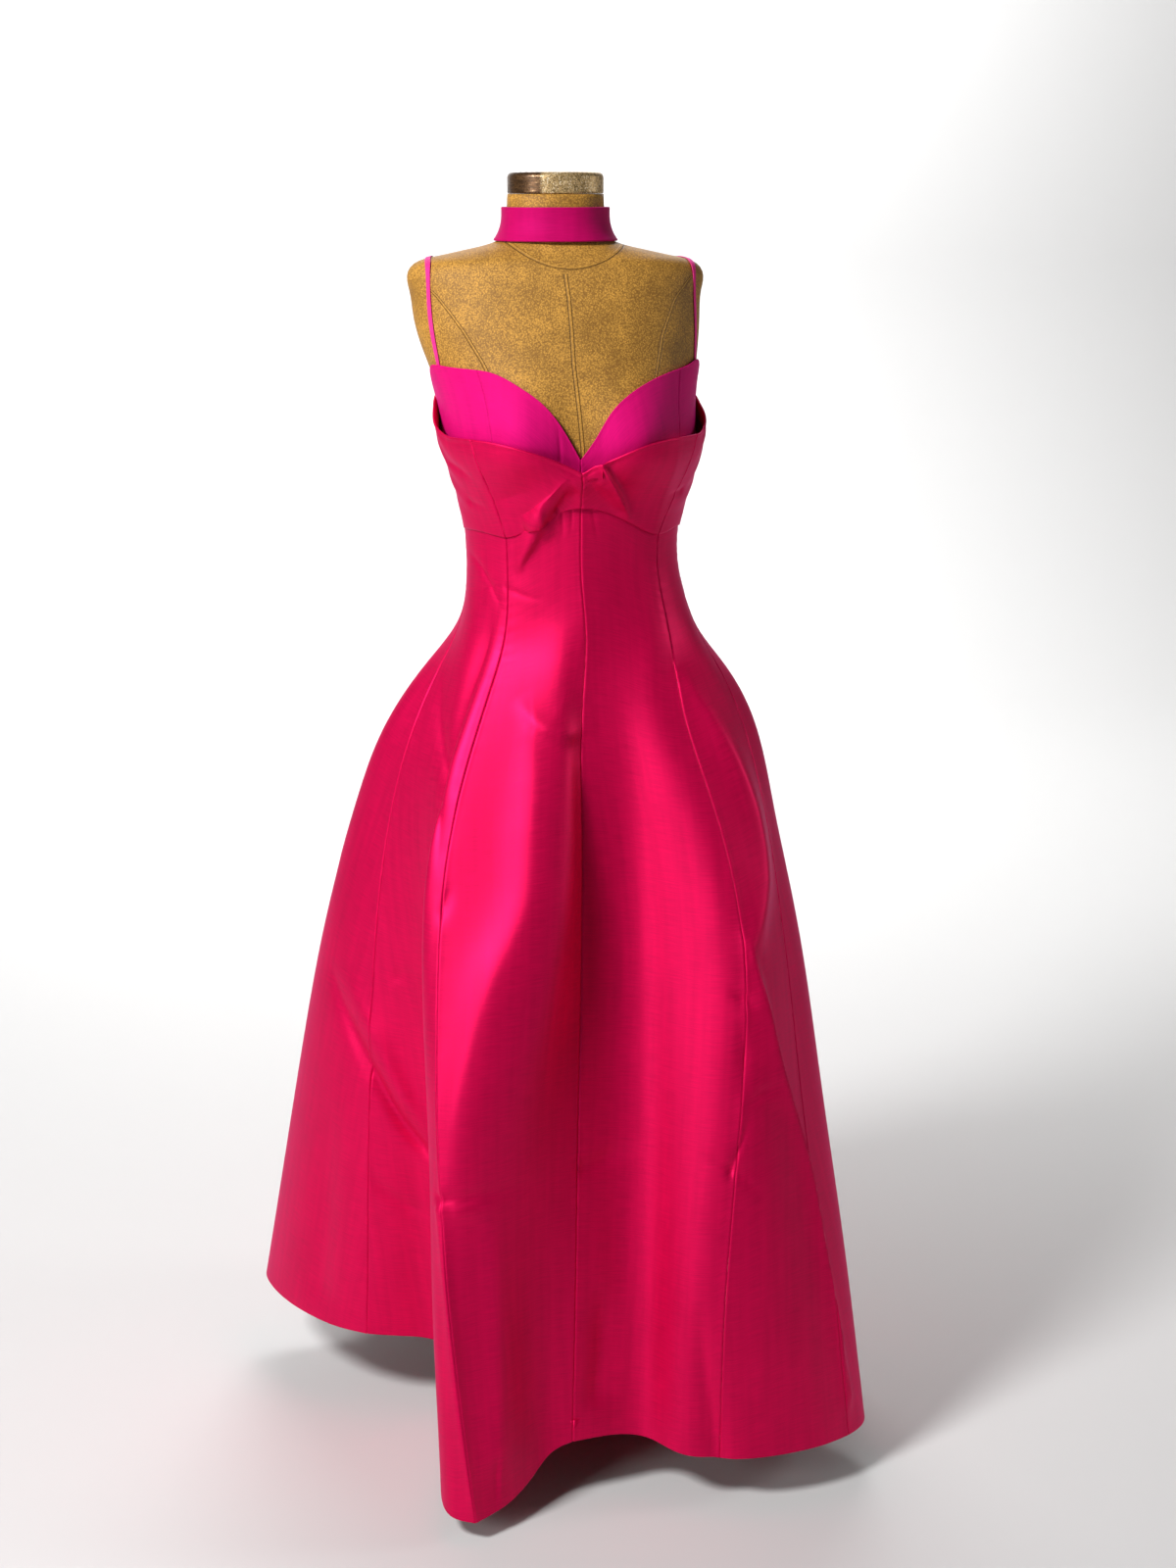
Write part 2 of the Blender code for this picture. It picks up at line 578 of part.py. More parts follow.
def over_shoulder(x, turn):
    """Where a line from inside the form, up and over by that turn, comes out of it."""
    forward, up = math.cos(math.radians(turn)), math.sin(math.radians(turn))
    near, far = 0.0, 0.3
    for _ in range(30):
        middle = (near + far) / 2
        if inside_form(x, -middle * forward, STRAP_CENTRE + middle * up):
            near = middle
        else:
            far = middle
    return np.array([x, -near * forward, STRAP_CENTRE + near * up])


def strap(sizes, material, collection):
    turns = (sizes.front_turn, 90.0, sizes.back_turn)
    route = spline(turns, (sizes.front_x, sizes.top_x, sizes.back_x))

    def place(s, t):
        side = 2 * t - 1
        end = sizes.back_turn if side > 0 else sizes.front_turn
        turn = 90 + (end - 90) * abs(side) * (1 - STRAP_CROWDING * (1 - side * side))
        x = float(route(turn)[0])
        across = over_shoulder(x + STRAP_WIDTH / 2, turn) - over_shoulder(x - STRAP_WIDTH / 2, turn)
        along = over_shoulder(x, turn + 1) - over_shoulder(x, turn - 1)
        normal = np.cross(across, along)
        normal /= np.linalg.norm(normal)
        point = over_shoulder(x + (s - 0.5) * STRAP_WIDTH, turn)
        return point + normal * STRAP_CLEAR, normal

    bm = panel_mesh(place, 1, STRAP_ROWS, STRAP_WALL, sides=(False, False))
    add_object(sizes.name, bm, material, collection)


def bodice_panel(name, start, end, top, foot_gap, material, collection):
    """A cup or back panel between two angles, from the seam under the bust up to its top line."""

    def place(s, t):
        angle = mix(start, end, s)
        z = mix(underbust(angle) + foot_gap, top(angle), t)
        return off_figure(angle, z, cup_out(angle, z)), normal_of(on_figure, angle, z, 1.0, 0.002)

    columns = round((end - start) / BODICE_STEP)
    add_object(name, panel_mesh(place, columns, BODICE_ROWS, SATIN_WALL), material, collection)


def layer_panel(name, start, end, step, material, collection):
    """A panel of the outer layer between two seams, each a Slant, up to its folded top."""

    def place(s, t):
        angle = mix(mix(start.foot, start.top, t), mix(end.foot, end.top, t), s)
        z = mix(underbust(angle) - TUCK, fold_top(angle), t)
        return on_layer(angle, z), normal_of(on_layer, angle, z, 1.0, 0.002)

    columns = round((end.top - start.top) / step)
    add_object(name, panel_mesh(place, columns, BODICE_ROWS + 1, SATIN_WALL), material, collection)


def skirt_panel(name, start, end, material, collection):
    """A long panel from one rib to another, from the seam under the bust down to the hem."""
    first, last = stations[rib_names.index(start)], stations[rib_names.index(end)]
    last += stations[-1] if last <= first else 0

    def place(s, t):
        u = mix(first, last, s)
        top = underbust(signed(midriff_angle(u))) - SEAM_GAP / 2
        z = mix(top, hem_height(u), (1 - t) ** SKIRT_CROWDING)
        return on_skirt(u, z), normal_of(on_skirt, u, z, 0.004, 0.004)

    columns = round((last - first) / SKIRT_STEP)
    add_object(name, panel_mesh(place, columns, SKIRT_ROWS, SATIN_WALL), material, collection)


def centre_back(z):
    """The cloth's outside at the centre back."""
    return off_figure(180, z, cup_out(180, z) + SATIN_WALL)


def lean_with_back(bm):
    """Turns what stands upright at the slider's place until it lies along the back."""
    slope = centre_back(SLIDER_HEIGHT + 0.005) - centre_back(SLIDER_HEIGHT - 0.005)
    turn = mathutils.Matrix.Rotation(-math.atan2(slope[1], slope[2]), 3, "X")
    bmesh.ops.rotate(bm, verts=bm.verts, cent=centre_back(SLIDER_HEIGHT), matrix=turn)


def zip_slider(material, collection):
    """A low slider with two cheeks at its top end that hold the pull between them."""
    x, y, z = centre_back(SLIDER_HEIGHT)
    face = y + SEAT_GAP
    profile = bmesh.new()
    bmesh.ops.create_cube(profile, size=1)
    bmesh.ops.scale(profile, verts=profile.verts, vec=(SLIDER_WIDE, SLIDER_THICK, SLIDER_LONG))
    bmesh.ops.translate(profile, verts=profile.verts, vec=(x, face + SLIDER_THICK / 2, z))
    # The outer face is cut into strips across, so that the cheeks grow out of it as one body.
    top = z + SLIDER_LONG / 2
    inner = SLIDER_WIDE / 2 - CHEEK_WIDE
    for point, normal in (
        ((x - inner, 0, 0), (1, 0, 0)),
        ((x + inner, 0, 0), (1, 0, 0)),
        ((0, 0, top - CHEEK_LONG), (0, 0, 1)),
    ):
        geometry = profile.verts[:] + profile.edges[:] + profile.faces[:]
        bmesh.ops.bisect_plane(profile, geom=geometry, plane_co=point, plane_no=normal, dist=1e-6)
    outer = face + SLIDER_THICK
    cheeks = [
        item
        for item in profile.faces
        if item.normal.y > 0.9
        and abs(item.calc_center_median().y - outer) < 1e-5
        and item.calc_center_median().z > top - CHEEK_LONG
        and abs(item.calc_center_median().x - x) > inner
    ]
    corners, _ = pull_out(profile, cheeks)
    bmesh.ops.translate(profile, verts=corners, vec=(0, 2 * HINGE_RADIUS + PULL_GAP, 0))
    lean_with_back(profile)
    add_object("back_zip_slider", profile, material, collection)


def zip_pull(material, collection):
    """The pull hangs from a round knuckle between the cheeks, whose axis runs across."""
    x, y, z = centre_back(SLIDER_HEIGHT)
    axis_y = y + SEAT_GAP + SLIDER_THICK + PULL_GAP + HINGE_RADIUS
    axis_z = z + SLIDER_LONG / 2 - CHEEK_LONG / 2
    knuckle = SLIDER_WIDE - 2 * CHEEK_WIDE - 2 * PULL_GAP
    bm = bmesh.new()
    made = bmesh.ops.create_cone(
        bm, cap_ends=True, segments=16, radius1=HINGE_RADIUS, radius2=HINGE_RADIUS, depth=knuckle
    )
    bmesh.ops.rotate(
        bm, verts=made["verts"], cent=(0, 0, 0), matrix=mathutils.Matrix.Rotation(math.radians(90), 3, "Y")
    )
    end = [min(bm.faces, key=lambda item: item.calc_center_median().z)]
    ends = (
        (0.003, knuckle, PULL_THICK), (0.006, PULL_WIDE, PULL_THICK),
        (PULL_LONG - 0.004, PULL_WIDE, PULL_THICK), (PULL_LONG, PULL_WIDE * 0.5, PULL_THICK),
    )  # fmt: skip
    for down, wide, thick in ends:
        corners, end = pull_out(bm, end)
        for vert in corners:
            vert.co = (math.copysign(wide / 2, vert.co.x), math.copysign(thick / 2, vert.co.y), -down)
    bmesh.ops.translate(bm, verts=bm.verts, vec=(x, axis_y, axis_z))
    lean_with_back(bm)
    add_object("back_zip_pull", bm, material, collection)


def main():
    for old in list(bpy.data.objects):
        bpy.data.objects.remove(old, do_unlink=True)
    dress = bpy.data.collections.new("Sweetheart midi dress on a dress form")
    bpy.context.scene.collection.children.link(dress)
    satin = make_material("satin", (0.72, 0.003, 0.09), 0.42)
    crepe = make_material("crepe", (0.78, 0.02, 0.20), 0.6)
    leather = make_material("leather", (0.56, 0.27, 0.06), 0.55)
    gold = make_material("gold", (0.40, 0.27, 0.12), 0.45, 1.0)
    steel = make_material("steel", (0.55, 0.42, 0.20), 0.35, 1.0)

    form_body(leather, dress)
    form_cap(gold, dress)
    stand_pole(steel, dress)
    stand_base(steel, dress)
    neckband(crepe, dress)
    for sizes in STRAPS:
        strap(sizes, crepe, dress)
    for name, start, end, top, foot_gap in (
        ("cup_side_right", -SIDE_SEAM, CUP_SEAM_RIGHT, neckline_right, CUP_FOOT_GAP),
        ("cup_centre_right", CUP_SEAM_RIGHT, 0, neckline_right, CUP_FOOT_GAP),
        ("cup_centre_left", 0, CUP_SEAM_LEFT, neckline_left, CUP_FOOT_GAP),
        ("cup_side_left", CUP_SEAM_LEFT, SIDE_SEAM, neckline_left, CUP_FOOT_GAP),
        ("back_bodice_left", SIDE_SEAM, 180, back_top, SEAM_GAP / 2),
        ("back_bodice_right", -180, -SIDE_SEAM, lambda angle: back_top(abs(angle)), SEAM_GAP / 2),
    ):
        bodice_panel(name, start, end, top, foot_gap, crepe, dress)
    right, left = Slant(-SIDE_SEAM, -SIDE_SEAM), Slant(SIDE_SEAM, SIDE_SEAM)
    centre = Slant(0, 0)
    for name, start, end, step in (
        ("layer_side_right", right, LAYER_SEAM_RIGHT, BODICE_STEP),
        ("layer_centre_right", LAYER_SEAM_RIGHT, centre, PLEAT_STEP),
        ("layer_centre_left", centre, LAYER_SEAM_LEFT, PLEAT_STEP),
        ("layer_side_left", LAYER_SEAM_LEFT, left, BODICE_STEP),
    ):
        layer_panel(name, start, end, step, satin, dress)
    for name, start, end in (
        ("skirt_front_centre_left", "centre_front", "princess_left"),
        ("skirt_front_side_left", "princess_left", "side_seam_left"),
        ("skirt_back_side_left", "side_seam_left", "back_seam_left"),
        ("skirt_back_centre_left", "back_seam_left", "centre_back"),
        ("skirt_back_centre_right", "centre_back", "back_seam_right"),
        ("skirt_back_side_right", "back_seam_right", "side_seam_right"),
        ("skirt_front_side_right", "side_seam_right", "princess_right"),
        ("skirt_front_centre_right", "princess_right", "centre_front"),
    ):
        skirt_panel(name, start, end, satin, dress)
    zip_slider(steel, dress)
    zip_pull(steel, dress)


if __name__ == "__main__":
    main()
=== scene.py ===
"""Looks of the sweetheart midi dress and its limbless form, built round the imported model.

Every size is in metres, in the model's own frame: +Z up, the dress faces -Y and +X is the viewer's right.
Each cloth piece starts from the outer skin of its CAD solid: the skin's few corners are read as rows and
columns, a smooth surface is laid through them, and seams, folded edges and creases are worked into it.
"""

import math
from typing import NamedTuple

import bmesh
import bpy
import numpy as np
from bpy.props import FloatProperty, FloatVectorProperty, PointerProperty
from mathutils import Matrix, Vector


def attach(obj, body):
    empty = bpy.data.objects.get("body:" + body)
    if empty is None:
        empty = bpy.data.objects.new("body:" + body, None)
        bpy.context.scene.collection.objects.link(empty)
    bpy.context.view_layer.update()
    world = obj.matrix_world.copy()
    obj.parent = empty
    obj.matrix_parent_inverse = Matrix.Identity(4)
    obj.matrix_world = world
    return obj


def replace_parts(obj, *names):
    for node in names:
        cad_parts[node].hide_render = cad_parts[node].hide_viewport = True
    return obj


bl_info = {
    "name": "Sweetheart Midi Dress on a Form",
    "version": (1, 0, 0),
    "blender": (4, 5, 0),
    "location": "3D View > Sidebar > Dress",
    "description": "Satin dress, neckband, straps, dress form and stage, dressed over the packed model",
    "category": "Object",
}

MM = 0.001
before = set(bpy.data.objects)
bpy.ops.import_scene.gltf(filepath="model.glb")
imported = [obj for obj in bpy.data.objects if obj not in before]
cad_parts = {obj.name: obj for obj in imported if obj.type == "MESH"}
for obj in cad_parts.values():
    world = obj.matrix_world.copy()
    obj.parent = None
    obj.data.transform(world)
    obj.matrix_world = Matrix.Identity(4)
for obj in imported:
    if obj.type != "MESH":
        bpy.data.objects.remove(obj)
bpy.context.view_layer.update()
BODY = "dress_and_stand"
AXIS = Vector((0.010, 0.0, 1.250))      # the middle of the figure, and the height of its chest
CLOTH_WALL = 2.3 * MM                   # edges shorter than this are the cut ones of a cloth solid
END_PLACES = (0.0, 1.5 * MM, 4 * MM)    # where the rows lie beside a sheet's top and foot
SIDE_PLACES = (0.0, 0.4 * MM, 0.9 * MM, 1.6 * MM, 2.6 * MM, 4.2 * MM)    # and the columns beside its sides
SIDE_SHARE = 0.24                       # those take at most this share of a narrow sheet, on each side
SAME_PLACE = 0.01 * MM                  # corners of a CAD solid that are closer than this are one
RIPPLES = (9 * MM, 14 * MM, 23 * MM, 37 * MM)    # lengths of the ripples along a seam

CUPS = ("cup_side_right", "cup_centre_right", "cup_centre_left", "cup_side_left")
BACK_BODICE = ("back_bodice_left", "back_bodice_right")
OUTER_LAYER = ("layer_side_right", "layer_centre_right", "layer_centre_left", "layer_side_left")
SKIRT = (                               # round the figure, towards its left, from the middle of the front
    "skirt_front_centre_right", "skirt_front_centre_left", "skirt_front_side_left", "skirt_back_side_left",
    "skirt_back_centre_left", "skirt_back_centre_right", "skirt_back_side_right", "skirt_front_side_right",
)
STRAPS = ("strap_right", "strap_left")


class Crease(NamedTuple):
    """A fold or a trough worked into the cloth, in millimetres.

    Each row gives x, y, z, the height (below 0 in a trough) and how wide the slope is on the two sides, the
    right-hand one first as one goes along the rows with the cloth underfoot. Low crispness is a sharp crest.
    """

    name: str
    crispness: float
    rows: tuple


SKIRT_CREASES = (
    Crease("soft fold beside the long seam", 1.4, (
        (-128.4, -28.1, 888.6, 0, 10, 14), (-134, -79.4, 817.1, -4.3, 10, 14),
        (-139.9, -144.9, 756.9, -4.3, 10, 12), (-144, -171.2, 698.9, 0, 8, 8))),
    Crease("slanting fold of the side", 1.3, (
        (-263.2, 24.6, 538.6, 0, 9, 9), (-239.3, -18, 465.2, -6.9, 9, 9),
        (-214.9, -38.2, 415.5, -8.1, 8, 8), (-185.9, -51, 362.7, -8.8, 6.5, 6.5),
        (-165, -60, 336, -8, 5.5, 5.5), (-144, -68, 312, 0, 5, 5))),
    Crease("ridge over the slanting fold", 1.6, (
        (-246.3, -1.1, 540.6, 0, 14, 14), (-211.6, -38.5, 463.3, 5.5, 16, 14),
        (-179.7, -53.3, 395.9, 6.6, 14, 12), (-150, -66, 352, 0, 10, 10))),
    Crease("pinch of the long seam", 1.3, (
        (-153.6, -273.6, 368.3, -5.5, 4, 4), (-124.9, -282.3, 371.9, -4, 5, 5),
        (-82.3, -268.1, 372.6, -2, 6, 6), (-32.5, -238.4, 367.4, 0, 7, 7))),
    Crease("edge of the lit wedge", 1.6, (
        (123.2, -86.6, 900.6, 0, 12, 14), (136.6, -92.6, 879.6, 4.5, 14, 18),
        (170.2, -111.4, 821.5, 9, 18, 22), (199.8, -129.9, 745.6, 11.2, 20, 24),
        (208.3, -157, 672.8, 10.5, 18, 22), (194.1, -193.9, 617.8, 6, 12, 16))),
    Crease("long fold at the right", 1.25, (
        (189.2, -198.2, 613.8, 3.6, 8, 6), (202.4, -208.6, 555.3, 10.8, 12, 6),
        (220.2, -214.1, 474.2, 11.7, 14, 6), (253, -210.1, 355.8, 11.7, 16, 6),
        (271.7, -222.3, 258.1, 10.8, 16, 6), (289.5, -233.2, 167.1, 9, 16, 6),
        (303, -242.2, 92.5, 5.4, 14, 6))),
    Crease("pinch below the wedge", 1.3, (
        (163.8, -212.9, 567.2, 0, 4, 4), (182.6, -217.1, 559.1, -5.4, 4.5, 4.5),
        (196.1, -214.2, 546.4, 0, 4, 4))),
    Crease("star of the right seam, up", 1.3, (
        (165, -255.8, 379.6, -3.2, 3, 3), (176.3, -249.7, 408.4, -2.6, 3.5, 3.5),
        (189.2, -240.4, 438.1, 0, 4, 4))),
    Crease("star of the right seam, level", 1.3, (
        (162.9, -255.8, 377.5, -3.2, 3, 3), (184.7, -253.7, 376.7, -2.6, 3, 3),
        (213.9, -241.1, 377.9, 0, 3, 3))),
    Crease("star of the right seam, down", 1.3, (
        (163.8, -256.7, 374.4, -2.6, 3, 3), (182.3, -256.5, 363.1, -2.2, 3, 3),
        (198.9, -255.6, 345.9, 0, 4, 4))),
    Crease("star of the right seam, left", 1.3, (
        (162.9, -255.4, 379.6, -2.6, 3, 3), (147.4, -251.1, 386.4, -1.6, 4, 4),
        (129.6, -240.6, 394.1, 0, 5, 5))),
    Crease("short crease of the right panel", 1.3, (
        (177.9, -243.2, 443.2, 0, 3, 3), (197.4, -234.9, 454.9, -3.4, 3.5, 3.5),
        (229.4, -207.3, 458.6, 0, 4, 4))),
    Crease("crease above the star", 1.4, (
        (178.9, -221.9, 538.6, 0, 5, 5), (181.1, -231.8, 497.3, -3.6, 6, 6),
        (177, -241.7, 448.2, 0, 5, 5))),
    Crease("level shade beside the centre seam", 1.6, (
        (8.1, -216.6, 370.9, -2.4, 8, 8), (35, -207.6, 376.2, -3.8, 9, 9),
        (69.7, -206.4, 393.8, 0, 10, 10))),
    Crease("hollow at the foot of the right seam", 1.7, (
        (126, -277.1, 227.8, 0, 18, 14), (131.8, -286.4, 167.9, -6.4, 20, 14),
        (140.9, -296.1, 101.8, -8, 22, 14), (144.9, -301.4, 61.7, -8, 22, 14))),
    Crease("hollow at the foot of the centre", 1.7, (
        (23.5, -234.5, 241.2, 0, 14, 14), (26.9, -243.6, 186.7, -4.4, 16, 18),
        (19.1, -256, 122.4, -5.1, 16, 18))),
    Crease("drag of the midriff", 1.3, (
        (-58.9, -72.9, 988.2, -1.7, 3, 3), (-40.4, -80.8, 980.6, -1.3, 3, 3),
        (-20.8, -87.1, 977.1, 0, 3, 3))),
    Crease("drag of the side midriff", 1.3, (
        (-98.9, -17.4, 1023.3, 0, 4, 4), (-85.9, -48.6, 1006.2, -1.8, 4, 4),
        (-73.2, -62.9, 982.5, -1.4, 4, 4), (-64.4, -71.6, 964.4, 0, 4, 4))),
    Crease("drag of the left midriff", 1.3, (
        (-96.1, -32.9, 971.3, 0, 4, 4), (-81.2, -54.9, 985.6, -1.6, 4, 4), (-65, -69, 991.9, 0, 3, 3))),
    Crease("gather under the layer, first", 1.5, (
        (-3.8, -101.3, 1075.3, -1, 1.8, 1.8), (-2.4, -97.5, 1056.9, -0.7, 2, 2),
        (-3.2, -94.4, 1041.7, 0, 2, 2))),
    Crease("gather under the layer, second", 1.5, (
        (6.6, -102.3, 1077.3, -1, 1.6, 1.6), (6.9, -99.1, 1062.2, -0.6, 1.8, 1.8),
        (5, -96.4, 1049.3, 0, 2, 2))),
    Crease("gather under the layer, third", 1.5, (
        (28.7, -101.9, 1077, -0.9, 2, 2), (31.2, -98.3, 1060.7, -0.6, 2, 2),
        (34.8, -94.6, 1043.3, 0, 2, 2))),
    Crease("soft dip of the left side", 1.7, (
        (-225.9, -38.7, 276.3, 0, 7, 7), (-229.2, -39.9, 183.9, -1.9, 7, 7),
        (-228.6, -42.4, 109.5, 0, 7, 7))),
    Crease("short fold of the side", 1.4, (
        (-199, -43.4, 532.1, 0, 5, 5), (-184.6, -52.3, 542.8, -3.1, 5, 5),
        (-163.1, -69.8, 543.3, 0, 5, 5))),
    Crease("fold beside the crest", 1.5, (
        (-129.2, -184.5, 686, 0, 6, 6), (-140.2, -190.9, 666.5, -3.2, 6, 6),
        (-144.1, -199.6, 642.1, 0, 6, 6))),
    Crease("lower shade of the side", 1.7, (
        (-264.1, 1.1, 377.8, 0, 26, 26), (-276.9, 2.1, 241.8, -6, 28, 28),
        (-286.7, 3.6, 140.4, -6, 28, 28))),
    Crease("crest below the pinch", 1.2, (
        (-153.7, -274.1, 365.1, 3, 5, 5), (-147.2, -301.6, 261.4, 5, 7, 6), (-132.5, -328, 104.6, 5, 8, 7),
        (-125.1, -342.2, 38.8, 4, 8, 8))),
    Crease("second slant of the side", 1.5, (
        (-229.7, -34.8, 305.5, 0, 8, 8), (-207.8, -44.6, 278, -3.8, 7, 7),
        (-178.8, -52.4, 259.2, -3.8, 6, 6), (-154.3, -62.1, 252.6, 0, 5, 5))),
    Crease("wedge below the pleat", 2, (
        (-28.3, -93.6, 1058.8, 7.8, 16, 9), (-36.3, -87.1, 1038, 6.8, 13, 7),
        (-43.4, -81.6, 1020.3, 3.9, 9, 4), (-48.5, -77.7, 1005.9, 0, 6, 3))),
    Crease("dip beside the wedge", 1.2, (
        (-16, -96.3, 1059, -0.8, 3, 1.4), (-25.1, -91.4, 1043.7, -0.8, 3, 1.2),
        (-35.2, -85.6, 1026.1, -0.7, 2, 1.2), (-46.5, -78.7, 1008.2, 0, 2, 1.6))),
    Crease("fold under the pinch", 1.4, (
        (-152, -279.7, 356.3, 2, 6, 6), (-125.3, -284.8, 356.3, 2.6, 7, 7),
        (-77.2, -267.5, 351.7, 0, 8, 8))),
    Crease("long hollow right of the centre", 2, (
        (58.2, -106.3, 884.2, 0, 22, 20), (67.1, -133.7, 781.2, -5, 28, 24),
        (72.2, -158.6, 644.1, -7.5, 34, 28), (74.5, -189.7, 485.5, -8.5, 36, 30),
        (74.9, -218.9, 336.5, -8, 36, 30), (69.5, -242.3, 195.5, -7.5, 36, 30),
        (62.3, -260.9, 74.7, -7, 34, 30))),
    Crease("lower face of the long panel", 1.7, (
        (-98.7, -276.9, 361.5, 1, 12, 24), (-95.5, -281.4, 293.2, 6, 16, 34),
        (-94.8, -291.7, 218, 7.5, 18, 36), (-94.6, -307.3, 133.6, 7.5, 18, 36),
        (-95.6, -316.2, 92, 7, 18, 36))),
    Crease("peak of the centre seam", 1.3, (
        (18.7, -96.5, 1049.1, 7.8, 42, 40), (19.3, -90.3, 989.7, 9.3, 44, 42),
        (17.6, -95.9, 937.1, 7.8, 42, 40), (15.2, -109, 885.8, 3.9, 38, 34),
        (13.9, -121.2, 839.6, 0, 30, 30))),
    Crease("peak of the long seam", 1.3, (
        (-60.9, -76.9, 1044.3, 2.4, 26, 30), (-61, -71.7, 988, 3, 26, 32), (-61.7, -77.2, 946, 2.4, 26, 32),
        (-68.5, -92.3, 905.8, 0.8, 24, 28), (-77.1, -105.5, 876.2, 0, 20, 24))),
    Crease("peak of the right seam", 1.3, (
        (102.8, -69.4, 1038.6, 2.6, 28, 24), (100.9, -70.4, 985, 3.2, 30, 24),
        (111.2, -77.3, 931.8, 2.6, 30, 24), (125, -97.7, 881, 1, 28, 22), (136, -113.8, 845.9, 0, 24, 20))),
    Crease("fold over the hip", 1.5, (
        (-53.2, -112.5, 875, 0, 8, 16), (-36.5, -127.7, 851, 3.6, 8, 20),
        (-25.6, -134.5, 842.2, 5.2, 6, 24), (-8.7, -135.2, 835.8, 5, 6, 26),
        (13.8, -122, 837.5, 2.4, 7, 24), (35.5, -118.6, 842.7, 0, 8, 16))),
    Crease("edge of the long shade", 1.7, (
        (-37.4, -136.2, 831.3, 2.6, 18, 24), (-36.9, -152.9, 788.8, 6.5, 24, 34),
        (-41.9, -171.6, 739.6, 9.1, 26, 38), (-52.2, -202.7, 661.9, 10.4, 28, 40),
        (-84.7, -226.4, 599.7, 9.8, 26, 44), (-111.7, -247.9, 531.6, 7.8, 22, 40),
        (-132.5, -266.7, 445.9, 6.5, 20, 34), (-138.2, -279.7, 379.3, 2.6, 16, 24))),
    Crease("long fold left of the zip", 1.5, (
        (29, 119.8, 900, 0, 10, 10), (40, 170.2, 750, 6, 14, 16), (52.7, 219.5, 500, 7.5, 18, 18),
        (59.9, 256.9, 250, 6, 20, 18), (67.8, 271.9, 100, 4.5, 20, 18))),
    Crease("slanting fold of the back", 1.4, (
        (-36.2, 151.2, 820, 0, 8, 8), (-64.8, 176.2, 700, -4.5, 8, 8), (-108, 204.5, 560, -5.1, 9, 9),
        (-159.4, 233.2, 440, 0, 9, 9))),
    Crease("pinch of the back seam", 1.3, (
        (129.8, 207.5, 470, 0, 4, 4), (101.9, 206.3, 455, -3.6, 4, 4), (74.9, 212.1, 460, 0, 5, 5))),
    Crease("drag over the seat", 1.4, (
        (8.2, 105.7, 930, -1.8, 4, 4), (-9.8, 112.2, 915, -2.1, 5, 5), (-30.7, 111.9, 910, 0, 5, 5))),
    Crease("second drag over the seat", 1.4, (
        (11.7, 98.3, 955, -1.5, 4, 4), (29.6, 100.8, 945, -1.8, 5, 5), (46.3, 99.6, 945, 0, 5, 5))),
    Crease("long fold of the left back", 1.3, (
        (157.4, 115.2, 780, 0, 9, 9), (182.4, 149.9, 620, 6.8, 14, 9), (201.3, 184.7, 450, 8.2, 16, 9),
        (214, 211.3, 280, 7.5, 18, 10), (220.2, 233.4, 140, 4.5, 18, 10))),
    Crease("slant behind the left fold", 1.5, (
        (216.1, 83.3, 720, 0, 9, 9), (210.9, 106.8, 600, -4.5, 9, 9), (208.6, 134, 500, -4.5, 8, 8),
        (208.8, 166.8, 420, 0, 7, 7))),
    Crease("long fold of the right back", 1.4, (
        (-132.4, 128.2, 800, 0, 10, 10), (-175.1, 160.9, 620, 6, 14, 14), (-206.6, 175.4, 450, 6.9, 16, 14),
        (-227.7, 185.7, 280, 6, 16, 14), (-241.3, 189.3, 160, 3, 16, 14))),
    Crease("slant of the right side", 1.4, (
        (-246.2, 54.5, 660, 0, 9, 9), (-264.9, 89.3, 560, -3.9, 9, 9), (-266.2, 123, 470, -4.5, 8, 8),
        (-250.1, 150.2, 390, 0, 7, 7))),
    Crease("shade at the foot of the zip panel", 1.7, (
        (-18.6, 271.7, 340, 0, 14, 14), (-25, 285.5, 220, -4.5, 16, 16), (-27, 301.4, 90, -5.1, 18, 18))),
    Crease("drag of the back midriff", 1.4, (
        (59.9, 86.4, 1010, 0, 4, 4), (42.7, 89.8, 1000, -1.5, 4, 4), (22.7, 90.6, 1004, 0, 4, 4))),
    Crease("drag of the back midriff, right", 1.4, (
        (-2.8, 91.1, 990, 0, 4, 4), (-20.7, 89.1, 983, -1.5, 4, 4), (-40, 83.3, 988, 0, 4, 4))),
)
